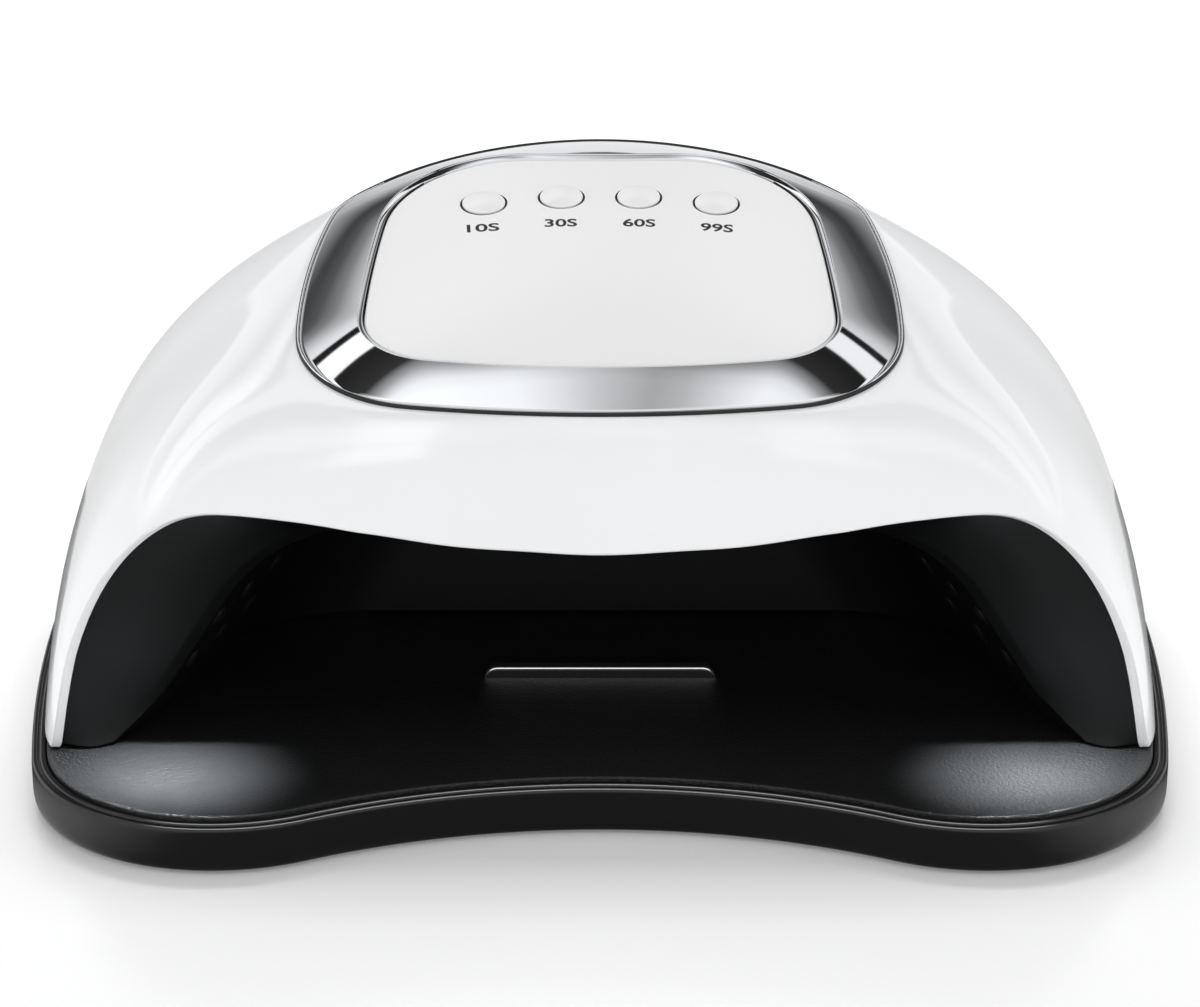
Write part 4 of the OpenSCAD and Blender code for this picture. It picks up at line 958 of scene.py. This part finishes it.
bar = barSections()
n, m = bar.shape[:2]
barFaces = gridFaces(n, m, False)
barFaces += [(i * m + m - 1, (i + 1) * m + m - 1, (i + 1) * m, i * m) for i in range(n - 1)]
barShape = (bar.reshape(-1, 3), barFaces + [range(m), range((n - 1) * m, n * m)])
pegPoints, pegFaces = cylinder(1, 8.8, 10.3, 24)
pegShapes = [(moved(pegPoints, spot), pegFaces) for spot in pegSpots]
fingerBar = joined("fingerBar", [barShape] + pegShapes, barBlack, 50)
print("tray made")


# Screws

# A pan head screw with a cross recess: head below the origin, shank upwards
def screwShape(r, length, headR, headH):
    head = [(headR * math.sin(t), -headH * (0.45 + 0.55 * math.cos(t))) for t in np.linspace(0.25, 1.45, 7)]
    shank = [(headR, -headH * 0.4), (headR, 0), (r, 0), (r, length - r * 0.6), (r * 0.5, length), (0, length)]
    proto = toMesh("screwProto", *lathe([(0, -headH)] + head + shank, 24), steel)
    w, d = headR * 0.14, headR * 0.62
    recess = []
    for x, y in ((w, d), (d, w)):
        outline = [(-x, -y), (-x, y), (x, y), (x, -y)]
        recess.append(toMesh("recess" + str(x), *prism(outline, -headH - 1, -headH * 0.45), steel))
    proto = cut(proto, recess)
    shape = (readAll(proto.data.vertices, "co") / mm, [list(p.vertices) for p in proto.data.polygons])
    bpy.data.objects.remove(proto)
    return shape


caseFrames = [shift(x, y, 13) for x, y in caseSpots]
caseScrews = fittings("caseScrews", screwShape(1.3, 12, 2.6, 1.4), caseFrames, steel)
boardScrews = fittings("boardScrews", screwShape(1, 5, 2, 1.2), onSlope(boardSpots, -7.6), steel)
smallScrew = screwShape(0.8, 3.6, 1.6, 1)
lampScrews = fittings("lampScrews", smallScrew, sum(onWalls(standoffSpots, 5.2, 180).values(), []), steel)
socketFrames = onWall(shift(0, 88, 17), [(-8, 0), (8, 0)], 0, 180)
socketScrews = fittings("socketScrews", smallScrew, socketFrames, steel)
print("screws made")


# Every piece goes on its body

table = [  # pieces, body, the CAD nodes that each stands for, slot
    ([outerShell, shellPosts], "lamp", ["outer_shell"], "white_gloss"),
    ([chromeRing], "lamp", ["chrome_ring"], "chrome"),
    ([topPanel, panelBosses], "lamp", ["top_panel"], "panel_white"),
    ([innerLiner, linerStandoffs], "lamp", ["inner_liner"], "black_satin"),
    ([trayFrame], "tray", ["tray_frame"], "rim_plastic"),
    ([floorPlate, plateBosses], "tray", ["floor_plate"], "floor_plastic"),
    ([fingerBar], "tray", ["finger_bar"], "gloss_black"),
    ([trayFeet], "tray", ["tray_feet"], "rubber"),
    ([caseScrews], "lamp", ["case_screws"], "plated_steel"),
    ([boardScrews], "lamp", ["board_screws"], "plated_steel"),
    ([lampScrews], "lamp", ["lamp_screws"], "plated_steel"),
    ([socketScrews], "lamp", ["socket_screws"], "plated_steel"),
    (labels, "lamp", [], "black_satin")]
table += [([piece], "lamp", [node], "clear_lens") for node, piece in lensPieces.items()]
table += [([piece], "key_" + key, ["button_" + key], "panel_white") for key, piece in zip(keys, buttons)]
for pieces, body, stands, slotName in table:
    for piece in pieces:
        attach(piece, body)
        if stands:
            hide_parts(*stands)

# The CAD nodes that show as they are, by finish
keptNodes = [
    (steel, ["keeper_discs", "socket_pin"]), (linerBlack, ["bottom_frame"]), (rubber, ["support_pads"]),
    (nickel, ["magnets"]), (greenMask, ["control_board"]), (switchBlack, ["switch_bodies", "power_socket"]),
    (barBlack, ["display_module"]), (whiteMask, ["ceiling_board", "left_board", "right_board", "rear_board"]),
    (phosphor, ["ceiling_chips", "left_chips", "right_chips", "rear_chips"]), (sensorRed, ["hand_sensor"]),
    (leadBlack, ["power_lead"]), (leadRed, ["lamp_leads"]),
    (plungerBrown, ["plunger_" + key for key in keys])]
for mat, names in keptNodes:
    for name in names:
        nodes[name].material_slots[0].material = mat
madeCount, keptCount = sum(len(row[0]) for row in table), sum(len(row[1]) for row in keptNodes)
print("pieces on their bodies:", madeCount, "made,", keptCount, "kept")


# Studio, in metres: floor, world, soft lamps, and cards that only reflections see

studio = {"ambient": 0.63, "back": 0.6, "floorGlow": 0.15, "floorGloss": 0.30, "floorLamp": 23.0, "top": 3.3,
          "front": 3.2, "side": 3.7, "lobe": 120.0, "edge": 24.0, "rim": 16.0}


def linkTo(obj, only):
    obj.light_linking.receiver_collection = bpy.data.collections.new(obj.name + "Lights")
    for piece in only:
        obj.light_linking.receiver_collection.objects.link(piece)


def stagePlane(name, low, high, mat):
    mesh = bpy.data.meshes.new(name)
    corners = [(x, y, 0) for x, y in (low, (high[0], low[1]), high, (low[0], high[1]))]
    mesh.from_pydata(corners, [], [(0, 1, 2, 3)])
    mesh.materials.append(mat)
    obj = addObject(name, mesh)
    return obj


# World: white behind the object, plain light on it; reflections see white, darker to the sides at the back
world = bpy.data.worlds.new("studio")
scene.world = world
world.use_nodes = True
tree = world.node_tree
tree.nodes.clear()
rays = addNode(tree, "LightPath").outputs
seen = addNode(tree, "Math", {0: rays["Is Camera Ray"], 1: rays["Is Transmission Ray"]}, operation="MAXIMUM")
towards = addNode(tree, "SeparateXYZ", {"Vector": addNode(tree, "TexCoord").outputs["Generated"]}).outputs
sideways = addNode(tree, "Math", {0: towards["X"]}, operation="ABSOLUTE")
aside = addNode(tree, "MapRange", {"Value": sideways, "From Min": 0.06, "From Max": 0.26,
                "To Max": 1 - studio["back"]})
behind = addNode(tree, "MapRange", {"Value": towards["Y"], "From Min": 0.55, "From Max": 0.97,
                 "To Max": aside})
back = addNode(tree, "Math", {0: 1.0, 1: behind}, operation="SUBTRACT")
unseen = addNode(tree, "Mix", {"Factor": rays["Is Glossy Ray"], "A": studio["ambient"], "B": back})
level = addNode(tree, "Mix", {"Factor": seen, "A": unseen, "B": 1.0})
sky = addNode(tree, "Background", {"Color": (1, 1, 1, 1), "Strength": level})
addNode(tree, "OutputWorld", {"Surface": sky})

# The floor: a white sheet with a soft mirror over it
floorMat, tree = newMaterial("pale floor")
paper = addNode(tree, "BsdfDiffuse", {"Color": linear("#c2c2c3")})
mirror = addNode(tree, "BsdfAnisotropic", {"Color": [studio["floorGloss"]] * 3 + [1], "Roughness": 0.28})
glow = addNode(tree, "Emission", {"Color": (1, 1, 1, 1), "Strength": studio["floorGlow"]})
sheet = addNode(tree, "AddShader", {0: addNode(tree, "AddShader", {0: paper, 1: mirror}), 1: glow})
addNode(tree, "OutputMaterial", {"Surface": sheet})
floor = stagePlane("floor", (-8, -4), (8, 12), floorMat)
floor.visible_glossy = False  # gloss sees the dark card under it instead


# A card whose tone is the product of ramps [what it reads, low, high, stops]; a stop is (place, linear grey).
# A clear card adds its light to what lies behind it.
def addCard(name, low, high, ramps, strength=1.0, clear=False):
    mat, tree = newMaterial(name)
    x, y, _ = addNode(tree, "SeparateXYZ", {"Vector": addNode(tree, "TexCoord").outputs["Object"]}).outputs
    side = addNode(tree, "Math", {0: x}, operation="ABSOLUTE")
    reads = {"x": x, "y": y, "side": side, "outwards": addNode(tree, "Math", {0: side, 1: y})}
    tone = None
    for what, start, end, stops in ramps:
        value = addNode(tree, "MapRange", {"Value": reads[what], "From Min": start, "From Max": end})
        ramp = addNode(tree, "ValToRGB", {"Fac": value})
        points = ramp.color_ramp.elements
        while len(points) < len(stops):
            points.new(0.5)
        for point, (at, grey) in zip(points, stops):
            point.position = (at - start) / (end - start)
            point.color = (grey, grey, grey, 1)
        if tone:
            ramp = addNode(tree, "Mix", {"Factor": 1.0, "A": tone, "B": ramp}, data_type="RGBA",
                           blend_type="MULTIPLY")
        tone = ramp
    light = addNode(tree, "Emission", {"Color": tone, "Strength": strength})
    if clear:
        light = addNode(tree, "AddShader", {0: light, 1: addNode(tree, "BsdfTransparent")})
    addNode(tree, "OutputMaterial", {"Surface": light})
    obj = stagePlane(name, low, high, mat)
    obj.visible_camera = obj.visible_diffuse = obj.visible_shadow = obj.visible_transmission = False
    obj.visible_volume_scatter = False
    return obj


# Overhead: what the chrome ring shows, from the middle outwards and back
overhead = {
    "height": 1.1, "strength": 1.45,
    "outwards": [(0.10, 1.0), (0.20, 0.86), (0.32, 0.35), (0.45, 0.03), (0.85, 0.012), (0.87, 1.0),
                 (1.17, 1.0), (1.19, 0.008), (1.30, 0.008), (1.32, 0.78), (1.45, 0.66), (1.72, 0.2),
                 (1.90, 0.08), (2.08, 0.05), (2.16, 0.05), (2.37, 0.14), (3.0, 0.4)],
    "middle": [(-0.16, 1.0), (-0.08, 0.97), (-0.04, 0.8), (0.0, 0.58), (0.05, 0.42), (0.08, 0.5),
               (0.12, 0.75), (0.16, 1.0)],
    "sides": [(-0.3, 1.0), (0.3, 0.82)]}
ramps = [("outwards", 0, 3, overhead["outwards"]), ("x", -0.2, 0.2, overhead["middle"]),
         ("x", -0.4, 0.4, overhead["sides"])]
card = addCard("overheadCard", (-1.6, -0.4), (1.6, 2.7), ramps, overhead["strength"])
card.location.z = overhead["height"]

# Streaks on the shell: [middle x, y, half width, half length, turn, strength, softness] of clear cards
streaks = {
    "leftWide": (-0.86, 0.35, 0.30, 0.90, -24, 2.6, 0.3),
    "leftNarrow": (-0.115, -0.3, 0.05, 0.70, 0, 2.8, 0.3),
    "rightNarrow": (0.115, -0.3, 0.05, 0.70, 0, 1.6, 0.3),
    "rightWide": (0.86, 0.35, 0.30, 0.90, 24, 0.9, 0.3),
    "fill": (0, 1.15, 1.7, 1.65, 0, 0.85, 0.06)}  # keeps the overhead card's dark parts off the white pieces
for name, (x, y, halfX, halfY, turn, strength, soft) in streaks.items():
    ramps = [(what, -2, 2, [(-half, 0.0), (half * (soft - 1), 1.0), (half * (1 - soft), 1.0), (half, 0.0)])
             for what, half in (("x", halfX), ("y", halfY))]
    card = addCard(name + "Card", (-halfX, -halfY), (halfX, halfY), ramps, strength, clear=True)
    card.location = (x, y, 1.0)
    card.rotation_euler.z = math.radians(turn)
    linkTo(card, [outerShell] + ([topPanel] + buttons if name == "fill" else []))

# Under the floor: dark beside and behind the tray, so that its black stays black
under = {"sides": [(0.0, 0.16), (0.10, 0.18), (0.13, 0.9), (1.6, 1.0)],
         "back": [(-0.10, 1.0), (-0.055, 0.04)]}
ramps = [("side", 0, 2, under["sides"]), ("y", -1, 1, under["back"])]
card = addCard("underCard", (-0.17, -0.3), (0.17, 0.15), ramps)
card.location.z = -0.002


def aimed(name, data, at, aim):
    obj = addObject(name, data)
    obj.location = at
    obj.rotation_euler = (Vector(aim) - Vector(at)).to_track_quat("-Z", "Y").to_euler()
    return obj


centre, lip = (0, 0, 0.05), (0, -0.03, 0.01)
softboxes = [  # name, width, height, power, place, aim, what it lights alone
    ("topSoftbox", 1.6, 1.2, studio["top"], (0, -0.35, 1.5), centre, []),
    ("frontSoftbox", 2.0, 1.0, studio["front"], (0, -2.2, 0.9), centre, []),
    ("leftSoftbox", 0.6, 0.6, studio["side"], (-1.3, -0.35, 0.3), centre, []),
    ("rightSoftbox", 0.6, 0.6, studio["side"], (1.3, -0.35, 0.3), centre, []),
    ("floorLamp", 1.2, 0.5, studio["floorLamp"], (0, 0.9, 1.55), (0, 0, 0), [floor]),
    ("edgeStrip", 1.0, 0.3, studio["edge"], (0, -1.0, 0.42), lip, [fingerBar]),
    ("rimStrip", 1.4, 0.4, studio["rim"], (0, -0.5, 1.0), lip, [trayFrame])]
for name, width, height, power, at, aim, only in softboxes:
    light = bpy.data.lights.new(name, "AREA")
    light.shape, light.size, light.size_y, light.energy = "RECTANGLE", width, height, power
    lamp = aimed(name, light, at, aim)
    lamp.visible_glossy = only in ([fingerBar], [trayFrame])
    if only:
        linkTo(lamp, only)

# Two spots make the pale patches on the tray's front lobes
for side in (-1, 1):
    light = bpy.data.lights.new("lobeLamp", "SPOT")
    light.shadow_soft_size, light.spot_size, light.spot_blend = 0.015, math.radians(7.8), 1.0
    light.energy, light.color = studio["lobe"], (0.92, 0.96, 1.0)
    linkTo(aimed("lobeLamp", light, (side * 0.03, -0.12, 0.32), (side * 0.096, -0.087, 0.01)), [floorPlate])

camera = {"place": (0, -0.7342, 0.3099), "aim": (0, -0.02, 0.05), "lens": 98.04}
camData = bpy.data.cameras.new("camera")
camData.lens, camData.sensor_width, camData.sensor_fit = camera["lens"], 36, "HORIZONTAL"
camData.clip_start, camData.clip_end = 0.01, 50
scene.camera = aimed("camera", camData, camera["place"], camera["aim"])
